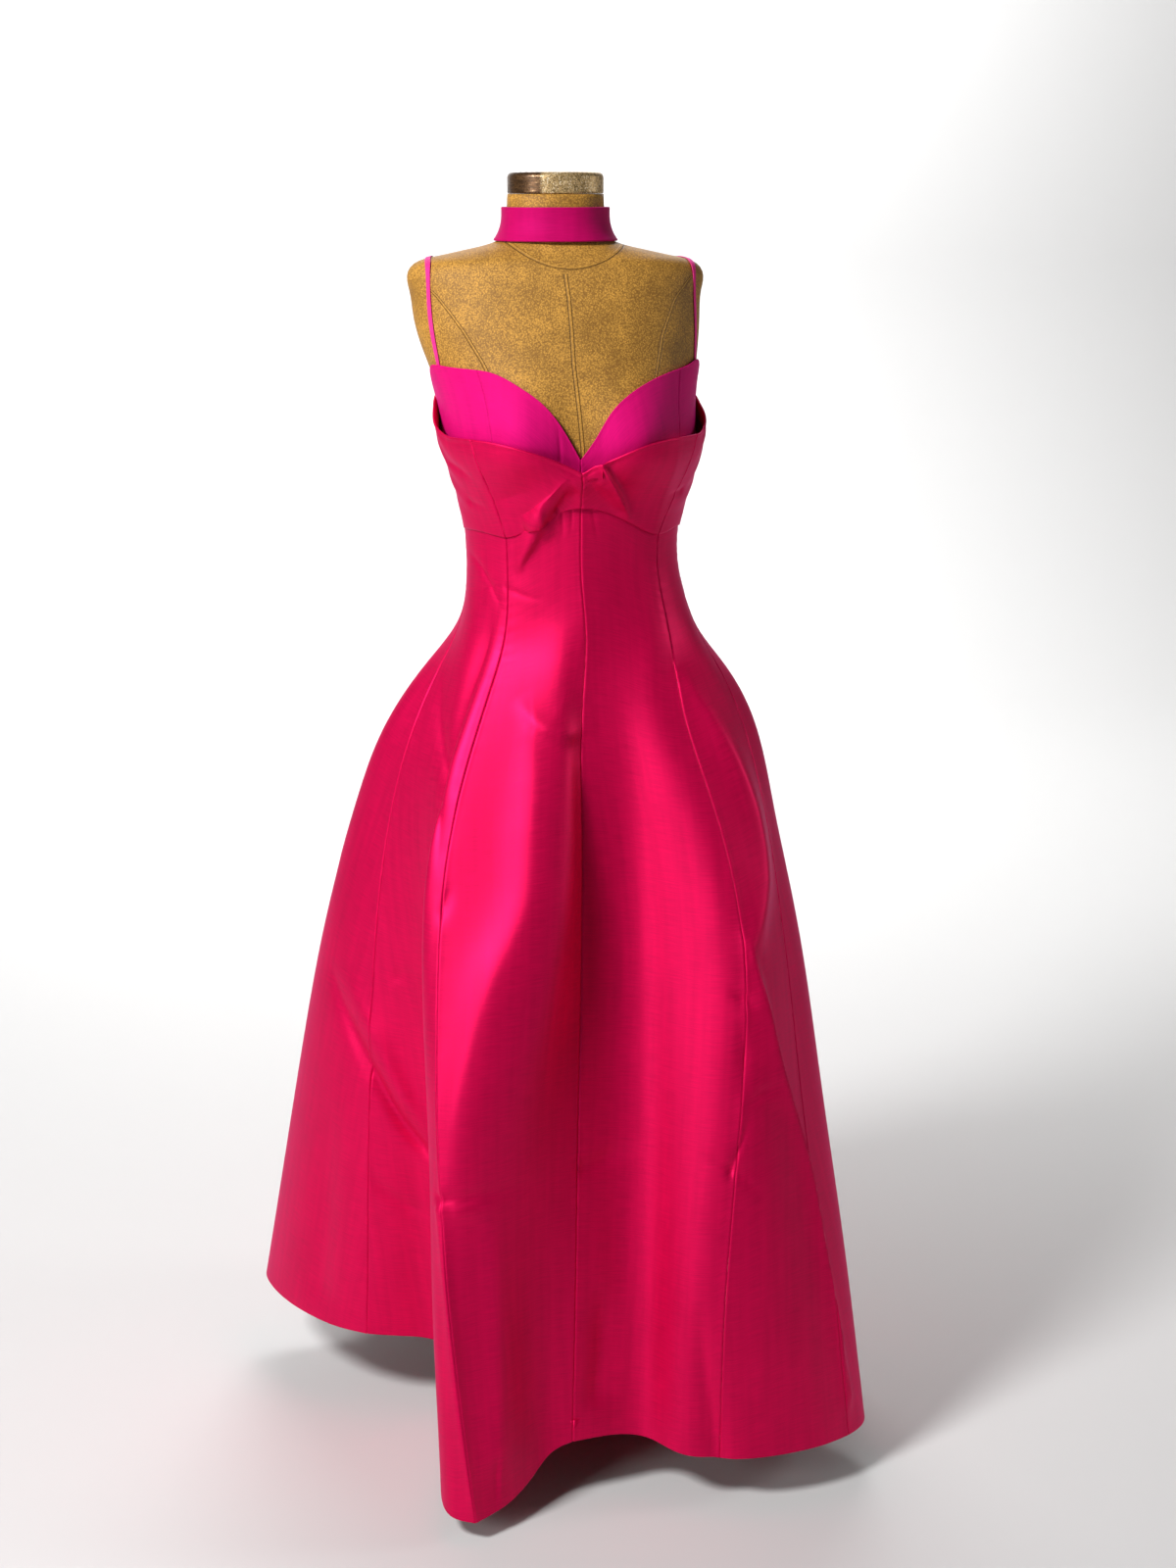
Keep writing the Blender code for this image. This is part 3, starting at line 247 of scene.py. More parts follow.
LAYER_CREASES = (
    Crease("left pleat", 1.5, (
        (5.4, -125.8, 1118.6, 0, 10, 5), (-6.6, -121.5, 1108, 3.6, 16, 6),
        (-16.3, -113.6, 1092.7, 6.6, 20, 5.5), (-24.3, -108.5, 1078.6, 7.6, 24, 5),
        (-27.1, -103.7, 1063.4, 6.8, 26, 4.5))),
    Crease("hollow beside the left pleat", 1.7, (
        (4.7, -122.3, 1107.9, 0, 5, 6), (-1.9, -115.1, 1093.7, -3.6, 5, 7),
        (-8.4, -105.7, 1078, -4.1, 5, 6))),
    Crease("right pleat", 1.3, (
        (34.5, -137.5, 1131, 3.2, 4, 3), (44.9, -124.9, 1111.9, 5.6, 4.5, 2.6),
        (58.3, -109.2, 1088, 5.2, 3.6, 2.2), (70.5, -96, 1065.1, 0, 1.8, 1.4))),
    Crease("shade under the right pleat", 1.6, (
        (46.4, -130.1, 1122.7, -1.7, 5, 7), (58.3, -117.2, 1102.5, -2.5, 5, 8),
        (73.4, -97.8, 1072.7, 0, 4, 6))),
    Crease("drag at the right side", 1.5, (
        (-98.3, -56.8, 1080.2, -2.6, 5, 5), (-78.6, -79.4, 1078.6, 0, 5, 5))),
    Crease("upper drag at the right side", 1.5, (
        (-123.3, -40.1, 1122.9, -2.2, 6, 6), (-108.9, -67.2, 1115.3, -2.5, 6, 6),
        (-94.2, -83.5, 1108.7, 0, 6, 6))),
    Crease("drag at the left side", 1.5, (
        (129.6, -66.4, 1091.1, -2.1, 5, 5), (110.7, -87.3, 1090.8, 0, 5, 5))),
    Crease("slack of the left panel", 1.7, (
        (-73.8, -86.4, 1083.7, 0, 6, 6), (-57, -102, 1091.7, -1.1, 7, 7), (-36.1, -114, 1099.2, 0, 6, 6))),
    Crease("peak of the centre seam", 1.3, (
        (13.2, -133.5, 1134, 5.5, 30, 34), (13.8, -124.7, 1116.3, 6, 30, 34),
        (14.5, -117.4, 1102, 6.8, 30, 34), (15.6, -106.7, 1085.1, 6.8, 30, 34))),
    Crease("peak of the right side's seam", 1.3, (
        (-91.2, -109, 1144.6, 2.4, 24, 22), (-86.4, -92.6, 1108.6, 3.6, 26, 24),
        (-74.6, -82.4, 1077.9, 3.6, 26, 24), (-63.1, -80.5, 1053.3, 3.1, 24, 22))),
    Crease("peak of the left side's seam", 1.3, (
        (117.2, -112.1, 1147.7, 2.4, 22, 24), (113.7, -102.1, 1115.6, 3.4, 24, 24),
        (104.4, -86.8, 1081.3, 3.4, 24, 24), (99.4, -78, 1052.7, 2.9, 22, 22))),
)
CUP_CREASES = (
    Crease("tuck of the right cup", 1.6, (
        (-9.5, -120.6, 1169.4, 0, 1.6, 1.6), (-7.6, -121.9, 1151.1, -0.8, 1.8, 1.8),
        (-6.3, -118.8, 1130.3, -0.7, 1.8, 1.8))),
)


class FormSeam(NamedTuple):
    """A seam down the form's cover: heights with the x it passes there, on the front or the back."""

    name: str
    behind: bool
    rows: tuple


FORM_SEAMS = (
    FormSeam("front_seam", False, ((1323, 1.2), (1296, 4.4), (1261, 6.5), (1228, 7.7), (1176, 12.9),
                                   (1130, 17.1), (1060, 18))),
    FormSeam("right_seam", False, ((1309, -145), (1299, -133.6), (1280, -119), (1261, -105.3), (1230, -86.8),
                                   (1201, -73.5), (1161, -64.5), (1060, -60))),
    FormSeam("left_seam", False, ((1321, 145), (1313, 136.6), (1295, 121), (1258, 105.5), (1212, 96.3),
                                  (1180, 90.3), (1060, 84))),
    FormSeam("back_seam", True, ((1372, 10), (1300, 10), (1200, 10), (1060, 10))),
    FormSeam("back_right_seam", True, ((1300, -128), (1270, -104), (1230, -82), (1180, -70), (1060, -58))),
    FormSeam("back_left_seam", True, ((1300, 148), (1270, 124), (1230, 102), (1180, 90), (1060, 78))),
)
NECK_SEAM_LOW = 1325.3 * MM             # the seam round the foot of the neck, at its lowest
NECK_SEAM_RISE = 27 * MM                # how much it rises to each side
NECK_SEAM_HALF = 66 * MM                # within this distance of the middle
NECK_SEAM_LENGTH = 460 * MM             # and how long it is, once round


# --- sizes and colours that a user may change -------------------------------------------------------
def length(name, description, default, low=0.0):
    return FloatProperty(name=name, description=description, default=default, min=low, subtype="DISTANCE",
                         unit="LENGTH", precision=4)


def power(name, description, default):
    return FloatProperty(name=name, description=description, default=default, min=0.0, subtype="POWER",
                         unit="POWER")


def tint(name, description, default):
    return FloatVectorProperty(name=name, description=description, default=default, size=3, subtype="COLOR",
                               min=0.0, max=1.0)


class DressSizes(bpy.types.PropertyGroup):
    """Sizes of the cloth's finish"""

    cell: length("Mesh cell", "Size of the skirt's mesh cells in front", 3.3 * MM, 1 * MM)
    wall: length("Cloth thickness", "Thickness of one layer of cloth", 0.5 * MM)
    seam_depth: length("Seam depth", "How far the cloth dips in at a seam", 0.55 * MM)
    seam_reach: length("Seam width", "Width of the dip beside a seam", 0.8 * MM)
    seam_lip: length("Seam lip", "How high the cloth swells beside a seam", 0.16 * MM)
    pucker: length("Pucker height", "Height of the ripples that the stitching draws in", 0.16 * MM)
    fold_radius: length("Fold radius", "Radius of a turned edge", 1.0 * MM)
    facing: length("Facing", "How far a turned edge goes down inside", 14 * MM)
    hem: length("Hem", "How far the hem is turned up inside", 24 * MM)


class DressColours(bpy.types.PropertyGroup):
    """Colours of the cloth, the form and the stage"""

    satin: tint("Satin", "Face of the satin", (0.650, 0.0012, 0.066))
    satin_gloss: tint("Satin gloss", "Colour that the satin throws back at a glance", (1.0, 0.36, 0.95))
    crepe_gloss: tint("Cups, gloss", "Colour of the soft bloom on the cups and neckband", (1.0, 0.07, 0.78))
    crepe: tint("Cups", "Face of the cups and the back of the bodice", (0.600, 0.004, 0.135))
    # The neckband's colour is the cups' crepe made darker: painted shade on the neckband, not a different
    # cloth.
    neckband: tint("Neckband", "Face of the neckband", (0.430, 0.002, 0.085))
    # The straps' colour is the cups' crepe made lighter: a painted sheen, not a different cloth.
    strap: tint("Straps", "Face of the straps", (0.740, 0.035, 0.220))
    leather: tint("Cover", "Leather cover of the form", (0.415, 0.205, 0.033))
    leather_dark: tint("Cover, worn", "Darker patches of the leather", (0.240, 0.110, 0.018))
    gold: tint("Cap", "Bronze-gold cap of the neck", (0.420, 0.280, 0.120))
    stand: tint("Stand", "Bronze paint of the pole and foot", (0.200, 0.135, 0.070))
    zip: tint("Zip", "Enamel of the zip's slider", (0.480, 0.004, 0.060))
    floor: tint("Floor", "Floor and backdrop", (0.620, 0.618, 0.615))


class DressStage(bpy.types.PropertyGroup):
    """Camera and lights"""

    lens: FloatProperty(name="Lens", description="Focal length on a 36 mm high frame", default=54.0, min=10.0,
                        subtype="DISTANCE_CAMERA", unit="CAMERA")
    key: power("Key light", "Power of the light at the front left", 97.0)
    fill: power("Fill light", "Power of the light at the right", 23.0)
    low: power("Low light", "Power of the low light at the front left", 18.0)
    wall: power("Backdrop light", "Power of the light on the backdrop", 230.0)
    sky: FloatProperty(name="Room light", description="Strength of the even light of the room", default=0.06,
                       min=0.0)


def sizes():
    return bpy.context.scene.dress_sizes


def colours():
    return bpy.context.scene.dress_colours


# --- smooth curves ----------------------------------------------------------------------------------
def spline(knots, values, places):
    """The natural cubic through values, one for each knot, read at the places."""
    knots, values, places = (np.asarray(x, float) for x in (knots, values, places))
    count, step = len(knots), np.diff(knots)
    flat = values.reshape(count, -1)
    slope = np.diff(flat, axis=0) / step[:, None]
    system = np.eye(count)
    bend = np.zeros_like(flat)
    for k in range(1, count - 1):
        system[k, k - 1 : k + 2] = step[k - 1], 2 * (step[k - 1] + step[k]), step[k]
        bend[k] = 6 * (slope[k] - slope[k - 1])
    bend = np.linalg.solve(system, bend)
    k = np.clip(np.searchsorted(knots, places) - 1, 0, count - 2)
    h, before, after = step[k][:, None], (places - knots[k])[:, None], (knots[k + 1] - places)[:, None]
    out = (bend[k] * after**3 + bend[k + 1] * before**3) / (6 * h)
    out += (flat[k] / h - bend[k] * h / 6) * after + (flat[k + 1] / h - bend[k + 1] * h / 6) * before
    return out.reshape((len(places),) + values.shape[1:])


def run_of(points, axis):
    """Distance gone along an axis of a grid of points, starting from 0."""
    steps = np.linalg.norm(np.diff(points, axis=axis), axis=-1)
    start = np.zeros_like(np.take(steps, [0], axis=axis))
    return np.concatenate([start, np.cumsum(steps, axis=axis)], axis=axis)


def unit(vectors):
    return vectors / np.maximum(np.linalg.norm(vectors, axis=-1, keepdims=True), 1e-12)


def bell(distance, width):
    """1 at no distance, falling off smoothly on both sides, to almost 0 at twice the width."""
    return np.exp(-((distance / width) ** 2))


def grid_normals(grid):
    return np.cross(np.gradient(grid, axis=0), np.gradient(grid, axis=1))


def faced(grid, way):
    """The grid, with its columns the other way round if its normals are mostly against a way for each."""
    return grid if (grid_normals(grid) * way).sum() > 0 else grid[:, ::-1]


# --- reading the CAD solids -------------------------------------------------------------------------
def merged_copy(node):
    """A bmesh of a CAD node, with its loose triangles joined."""
    bm = bmesh.new()
    bm.from_mesh(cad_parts[node].data)
    bmesh.ops.remove_doubles(bm, verts=bm.verts, dist=SAME_PLACE)
    return bm


def outer_faces(bm):
    """The faces of a cloth solid's outer side: those that touch no cut edge and look away from the figure."""
    cut = {face for edge in bm.edges if edge.calc_length() < CLOTH_WALL for face in edge.link_faces}
    left = set(bm.faces) - cut
    best, most = set(), 0.0
    while left:
        patch, front = set(), [left.pop()]
        while front:
            face = front.pop()
            patch.add(face)
            near = {other for edge in face.edges for other in edge.link_faces} & left
            left -= near
            front.extend(near)
        outward = 0.0
        for face in patch:
            middle = face.calc_center_median()
            away = middle - Vector((AXIS.x, AXIS.y, min(middle.z, AXIS.z)))
            outward += face.calc_area() * face.normal.dot(away)
        if outward > most:
            best, most = patch, outward
    return best


def edge_loop(faces):
    """The corners round a patch of faces, in order."""
    follows = {}
    for face in faces:
        for loop in face.loops:
            if not any(other in faces for other in loop.edge.link_faces if other is not face):
                follows[loop.vert] = loop.link_loop_next.vert
    start = next(iter(follows))
    ring = [start]
    while follows[ring[-1]] is not start:
        ring.append(follows[ring[-1]])
    return ring


def corner_turn(turns, start, wide, tall):
    """How much a rim turns at the four corners of a rectangle of wide by tall steps, from a start on."""
    return sum(turns[(start + step) % len(turns)] for step in (0, wide, wide + tall, 2 * wide + tall))


def skin_grid(node):
    """A cloth solid's outer side as an array of corners, rows by columns, from its loose triangles.

    The rim is a rectangle of few by many steps, whose corners are where it turns most. Each further row is
    found from the one before: its next corner is the one that touches both neighbours already known.
    """
    bm = merged_copy(node)
    bm.normal_update()
    faces = outer_faces(bm)
    ring = edge_loop(faces)
    total, half = len(ring), len(ring) / 2
    root = math.sqrt(max(half * half - 2 * len(faces), 0.0))
    few, many = round((half - root) / 2), round((half + root) / 2)
    if 2 * few * many != len(faces) or 2 * (few + many) != total:
        raise RuntimeError(f"{node}: no plain grid has {len(faces)} triangles in {total} edges")
    turns = []
    for k, vert in enumerate(ring):
        turns.append((vert.co - ring[k - 1].co).angle(ring[(k + 1) % total].co - vert.co, 0.0))
    fits = [(start, wide, tall) for start in range(total) for wide, tall in ((few, many), (many, few))]
    start, wide, tall = max(fits, key=lambda fit: corner_turn(turns, *fit))
    near = {}
    for face in faces:
        for vert in face.verts:
            near.setdefault(vert, set()).update(face.verts)
    rows = [[ring[(start + step) % total] for step in range(wide + 1)]]
    seen = set(rows[0])
    for step in range(1, tall + 1):
        row = [ring[(start - step) % total]]
        seen.add(row[0])
        for k in range(wide):
            shared = (near[row[k]] & near[rows[-1][k + 1]]) - seen
            if len(shared) != 1:
                raise RuntimeError(f"{node}: row {step} of its outer side breaks off at column {k}")
            row.append(shared.pop())
            seen.add(row[-1])
        rows.append(row)
    grid = np.array([[vert.co[:] for vert in row] for row in rows])
    bm.free()
    return grid


def hung_grid(node):
    """skin_grid with its rows from the top down and its columns the way the skirt's panels are listed."""
    grid = skin_grid(node)
    if np.abs(np.diff(grid[..., 2], axis=1)).mean() > np.abs(np.diff(grid[..., 2], axis=0)).mean():
        grid = grid.transpose(1, 0, 2)
    if grid[0, :, 2].mean() < grid[-1, :, 2].mean():
        grid = grid[::-1]
    return faced(grid, (grid - np.array(AXIS)) * (1, 1, 0))


def angle_round(corner, middle, start):
    return (math.atan2(corner.x - middle.x, middle.y - corner.y) + start) % math.tau


def rings_of(node, columns):
    """The level rings of a round solid, from the lowest up, each with its corners round from the back."""
    bm, levels_a_metre = merged_copy(node), 20_000
    levels = {}
    for vert in bm.verts:
        levels.setdefault(round(vert.co.z * levels_a_metre), []).append(vert.co.copy())
    bm.free()
    rings = []
    for _, corners in sorted(levels.items()):
        if len(corners) % columns:
            raise RuntimeError(f"{node}: a level has {len(corners)} corners, not {columns} or twice that")
        middle = sum(corners, Vector()) / len(corners)
        start = math.pi + math.pi / columns
        angles = [angle_round(corner, middle, start) for corner in corners]
        rings.append([corners[k][:] for k in np.argsort(angles, kind="stable")])
    return rings


# --- a smooth cloth surface -------------------------------------------------------------------------
def spaced(total, cell, closer):
    """Places from 0 to total, a cell apart, with those of the closer ones that fit near both ends."""
    closer = [place for place in closer if place < 0.3 * total]
    inner = closer[-1] if closer else 0.0
    count = max(2, round((total - 2 * inner) / cell))
    middle = np.linspace(inner, total - inner, count + 1)
    return np.concatenate([closer[:-1], middle, [total - place for place in closer[-2::-1]]])


def shared_rows(grids, fine, coarse, fine_to):
    """Shares of the way down of the corners' rows and of the mesh's rows, the same for panels sewn together.

    The mesh's rows are a fine step apart down to a depth, and go over to a coarse step at twice that depth.
    """
    runs = [run_of(grid, 0).mean(axis=1) for grid in grids]
    total = np.mean([run[-1] for run in runs])
    places = list(END_PLACES)
    while places[-1] < total - 1.5 * END_PLACES[-1]:
        places.append(places[-1] + np.interp(places[-1], (fine_to, 2 * fine_to), (fine, coarse)))
    places[-1:] = [total - place for place in END_PLACES[::-1]]
    return np.mean([run / run[-1] for run in runs], axis=0), np.array(places) / total


class CreasePath:
    """A crease as many short steps that lie on the cloth, with its height and widths at each."""

    REACH = 3.5                          # in widths; its lift is next to nothing beyond

    def __init__(self, crease, surfaces, step=8 * MM, fewest=8):
        rows = np.array(crease.rows) * MM
        along = run_of(rows[:, :3], 0)
        places = np.linspace(0, along[-1], 1 + max(fewest, round(along[-1] / step)))
        self.crispness = crease.crispness
        self.height, *self.widths = (np.interp(places, along, rows[:, k]) for k in (3, 4, 5))
        self.path = spline(along, rows[:, :3], places)
        points = np.concatenate([surface.points.reshape(-1, 3) for surface in surfaces])
        normal = np.concatenate([surface.normal.reshape(-1, 3) for surface in surfaces])
        for place in self.path:
            nearest = ((points - place) ** 2).sum(axis=-1).argmin()
            place += normal[nearest] * ((points[nearest] - place) @ normal[nearest])
        self.way = np.diff(self.path, axis=0)

    def lift(self, points, normal):
        """How far the crease lifts every point of a surface."""
        lift = np.zeros(points.shape[:-1])
        reach = self.REACH * max(width.max() for width in self.widths)
        low, high = self.path.min(axis=0) - reach, self.path.max(axis=0) + reach
        near = ((points > low) & (points < high)).all(axis=-1)
        if not near.any():
            return lift
        off = points[near][:, None] - self.path[:-1]
        share = np.clip((off * self.way).sum(axis=-1) / (self.way * self.way).sum(axis=-1), 0, 1)
        off -= share[..., None] * self.way
        best = np.linalg.norm(off, axis=-1).argmin(axis=1)
        each = np.arange(len(best))
        off, share = off[each, best], share[each, best]
        height, right, left = (
            values[best] + share * (values[best + 1] - values[best]) for values in (self.height, *self.widths)
        )
        on_right = (off * np.cross(self.way[best], normal[near])).sum(axis=-1) > 0
        far = np.linalg.norm(off, axis=-1) / np.where(on_right, right, left)
        lift[near] = height * np.exp(-(far**self.crispness))
        return lift


def neighbours(surfaces, closed):
    """Each panel with the one beyond its last column, and the last with the first where they close a ring."""
    return zip(surfaces, surfaces[1:] + (surfaces[:1] if closed else []), strict=False)


def join_edges(surfaces, closed, reach=18 * MM):
    """Turns the lift of neighbouring panels into one direction at the seam between them."""
    for one, other in neighbours(surfaces, closed):
        shared = unit(one.normal[:, -1] + other.normal[:, 0])
        for surface, edge in ((one, -1), (other, 0)):
            weight = bell(surface.from_edge(edge), reach)[..., None]
            surface.lift = unit(surface.lift + weight * (shared - surface.normal[:, edge])[:, None])


def close_seams(surfaces, closed, gap=0.04 * MM):
    """Brings the edges of neighbouring panels together, to a hair's breadth."""
    for one, other in neighbours(surfaces, closed):
        middle = 0.5 * (one.points[:, -1] + other.points[:, 0])
        apart = unit(other.points[:, 0] - one.points[:, -1]) * gap / 2
        one.points[:, -1], other.points[:, 0] = middle - apart, middle + apart


def cloth_grid(corners, cell, rows=None):
    """Points laid smoothly through a skin's corners, a cell apart, closer beside the edges.

    The columns beside the two sides keep their own distances from them where the sheet gets narrower, and the
    others share what is left.
    """
    if rows is None:
        down = run_of(corners, 0).mean(axis=1)
        rows = down, spaced(down[-1], cell, END_PLACES)
    rows = spline(rows[0], corners, rows[1])
    widest = run_of(rows, 1)[:, -1].max()
    share = spaced(widest, cell, SIDE_PLACES)
    edge = sum(place < SIDE_PLACES[-1] + 1e-9 for place in share)
    inner = slice(edge - 1, len(share) - edge + 1)
    share_in = (share[inner] - share[inner][0]) / (share[inner][-1] - share[inner][0])
    points = []
    for row in rows:
        along = run_of(row, 0)
        wide = along[-1]
        shrink = min(1.0, SIDE_SHARE * wide / SIDE_PLACES[-1])
        places = share * shrink
        places[-edge:] = wide - (widest - share[-edge:]) * shrink
        first, last = places[edge - 1], places[-edge]
        places[inner] = first + share_in * (last - first)
        points.append(spline(along, row, places))
    return np.array(points)


class ClothSurface:
    """A sheet of cloth as rows by columns of points, with how far each is across and down the sheet."""

    def __init__(self, points):
        self.points = np.array(points)
        self.measure()

    def measure(self):
        self.across = run_of(self.points, 1)
        self.down = run_of(self.points, 0)
        self.normal = unit(grid_normals(self.points))
        self.lift = self.normal
        self.from_side = np.minimum(self.across, self.across[:, -1:] - self.across)
        self.from_end = self.down[-1:] - self.down

    def from_edge(self, edge):
        """How far every point is from one of the sides: the first (edge 0) or the last (edge -1)."""
        return np.abs(self.across - self.across[:, [edge]])

    def push(self, amount):
        """Moves every point out by an amount of its own."""
        self.points = self.points + self.lift * amount[..., None]
        self.measure()

    def relax(self, width, step=1.5 * MM):
        """Evens out bends across the sheet that are tighter than a width; both sides stay where they are."""
        reach = round(3 * width / step)
        weight = bell(np.arange(-reach, reach + 1) * step, width)
        weight /= weight.sum()
        for row, along in zip(self.points, self.across, strict=True):
            places = np.linspace(0, along[-1], 1 + max(2 * reach, round(along[-1] / step)))
            even = np.stack([np.interp(places, along, row[:, k]) for k in range(3)], axis=-1)
            before, after = 2 * even[0] - even[reach:0:-1], 2 * even[-1] - even[-2 : -reach - 2 : -1]
            long = np.concatenate([before, even, after])
            smooth = np.stack([np.convolve(long[:, k], weight, "valid") for k in range(3)], axis=-1)
            row += np.stack([np.interp(along, places, (smooth - even)[:, k]) for k in range(3)], axis=-1)
        self.measure()

    def sew_sides(self, depth, reach, lip, pucker, seed, fade=8 * MM):
        """A dip along both sides, a lip next to it, and the small ripples that stitching draws in."""
        dip = -depth * bell(self.from_side, reach)
        swell = lip * bell(self.from_side - 2.6 * reach, 1.3 * reach)
        draw = np.random.default_rng(seed)
        ripple = np.zeros_like(dip)
        for wave in RIPPLES:
            phase, turn = draw.uniform(0, math.tau, 2)
            uneven = 0.5 + 0.5 * np.sin(self.down / (wave * 5.3) + turn)
            ripple += np.sin(math.tau * self.down / wave + phase) * uneven
        self.push(dip + swell + pucker * ripple * np.exp(-self.from_side / fade))

    def turn_edge(self, end, radius, facing, steps=6):
        """Folds the top (end 0) or the foot (end -1) inwards round a small radius and back down inside."""
        points = self.points if end == 0 else self.points[::-1]
        out = self.normal[end]
        past = unit(points[0] - points[2])
        past = unit(past - out * (past * out).sum(axis=-1, keepdims=True))
        middle = points[0] - out * radius
        rows = []
        for k in range(1, steps + 1):
            turn = math.pi * k / steps
            rows.append(middle + radius * (math.cos(turn) * out + math.sin(turn) * past))
        for share in (0.12, 0.4, 1.0):
            rows.append(rows[steps - 1] - past * facing * share)
        grown = np.concatenate([np.array(rows[::-1]), points])
        self.points = grown if end == 0 else grown[::-1]
        self.measure()

    def cut_size(self):
        """Width and length of the flat cut, and its area."""
        a, b, c, d = self.points[:-1, :-1], self.points[:-1, 1:], self.points[1:, 1:], self.points[1:, :-1]
        halves = np.cross(b - a, c - a), np.cross(c - a, d - a)
        area = 0.5 * sum(np.linalg.norm(half, axis=-1) for half in halves).sum()
        wide, tall = self.across[:, -1].max(), self.down[-1].max()
        return (float(wide), float(tall)), float(min(area, wide * tall))

    def mesh(self, name, marks=None):
        """The mesh, with its flat cut as a UV map and any marks as an attribute of two numbers each."""
        rows, columns = self.points.shape[:2]
        bm = bmesh.new()
        bmesh.ops.create_grid(bm, x_segments=columns - 1, y_segments=rows - 1, size=0.5)
        layer = bm.loops.layers.uv.new("cut")
        marks = {bm.verts.layers.float_vector.new(key): values for key, values in (marks or {}).items()}
        places = {}
        for vert in bm.verts:
            j, i = round((0.5 - vert.co.y) * (rows - 1)), round((vert.co.x + 0.5) * (columns - 1))
            vert.co = self.points[j, i]
            places[vert] = (self.across[j, i] - 0.5 * self.across[j, -1], -self.down[j, i])
            for key, values in marks.items():
                vert[key] = (*values[j, i], 0.0)
        for face in bm.faces:
            for loop in face.loops:
                loop[layer].uv = places[loop.vert]
        return smooth_mesh(name, bm)


def smooth_mesh(name, bm):
    """A mesh from a bmesh, which is freed, with all its faces smooth."""
    for face in bm.faces:
        face.smooth = True
    mesh = bpy.data.meshes.new(name)
    bm.to_mesh(mesh)
    bm.free()
    return mesh


def add_object(name, data):
    added = bpy.data.objects.new(name, data)
    bpy.context.scene.collection.objects.link(added)
    return added


def add_piece(name, mesh, material):
    """Puts a mesh in the scene as a piece that rides on the dress and its stand."""
    piece = add_object(name, mesh)
    mesh.materials.append(material)
    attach(piece, BODY)
    return piece


def add_closed(name, node, surface, material, marks=None):
    """A piece from a surface that goes once round: its sides are joined and its ends are filled."""
    mesh = surface.mesh(name, marks)
    bm = bmesh.new()
    bm.from_mesh(mesh)
    bmesh.ops.remove_doubles(bm, verts=bm.verts, dist=SAME_PLACE / 10)
    bmesh.ops.holes_fill(bm, edges=[edge for edge in bm.edges if edge.is_boundary])
    bm.to_mesh(mesh)
    bm.free()
    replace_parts(add_piece(name, mesh, material), node)


def add_cloth(node, surface, material):
    """A finished sheet of cloth that stands for its CAD node."""
    piece = add_piece(f"{node}_cloth", surface.mesh(f"{node}_cloth"), material)
    wall = piece.modifiers.new("cloth thickness", "SOLIDIFY")
    wall.thickness = sizes().wall
    wall.offset = -1.0
    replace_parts(piece, node)
    cut, area = surface.cut_size()
    return piece


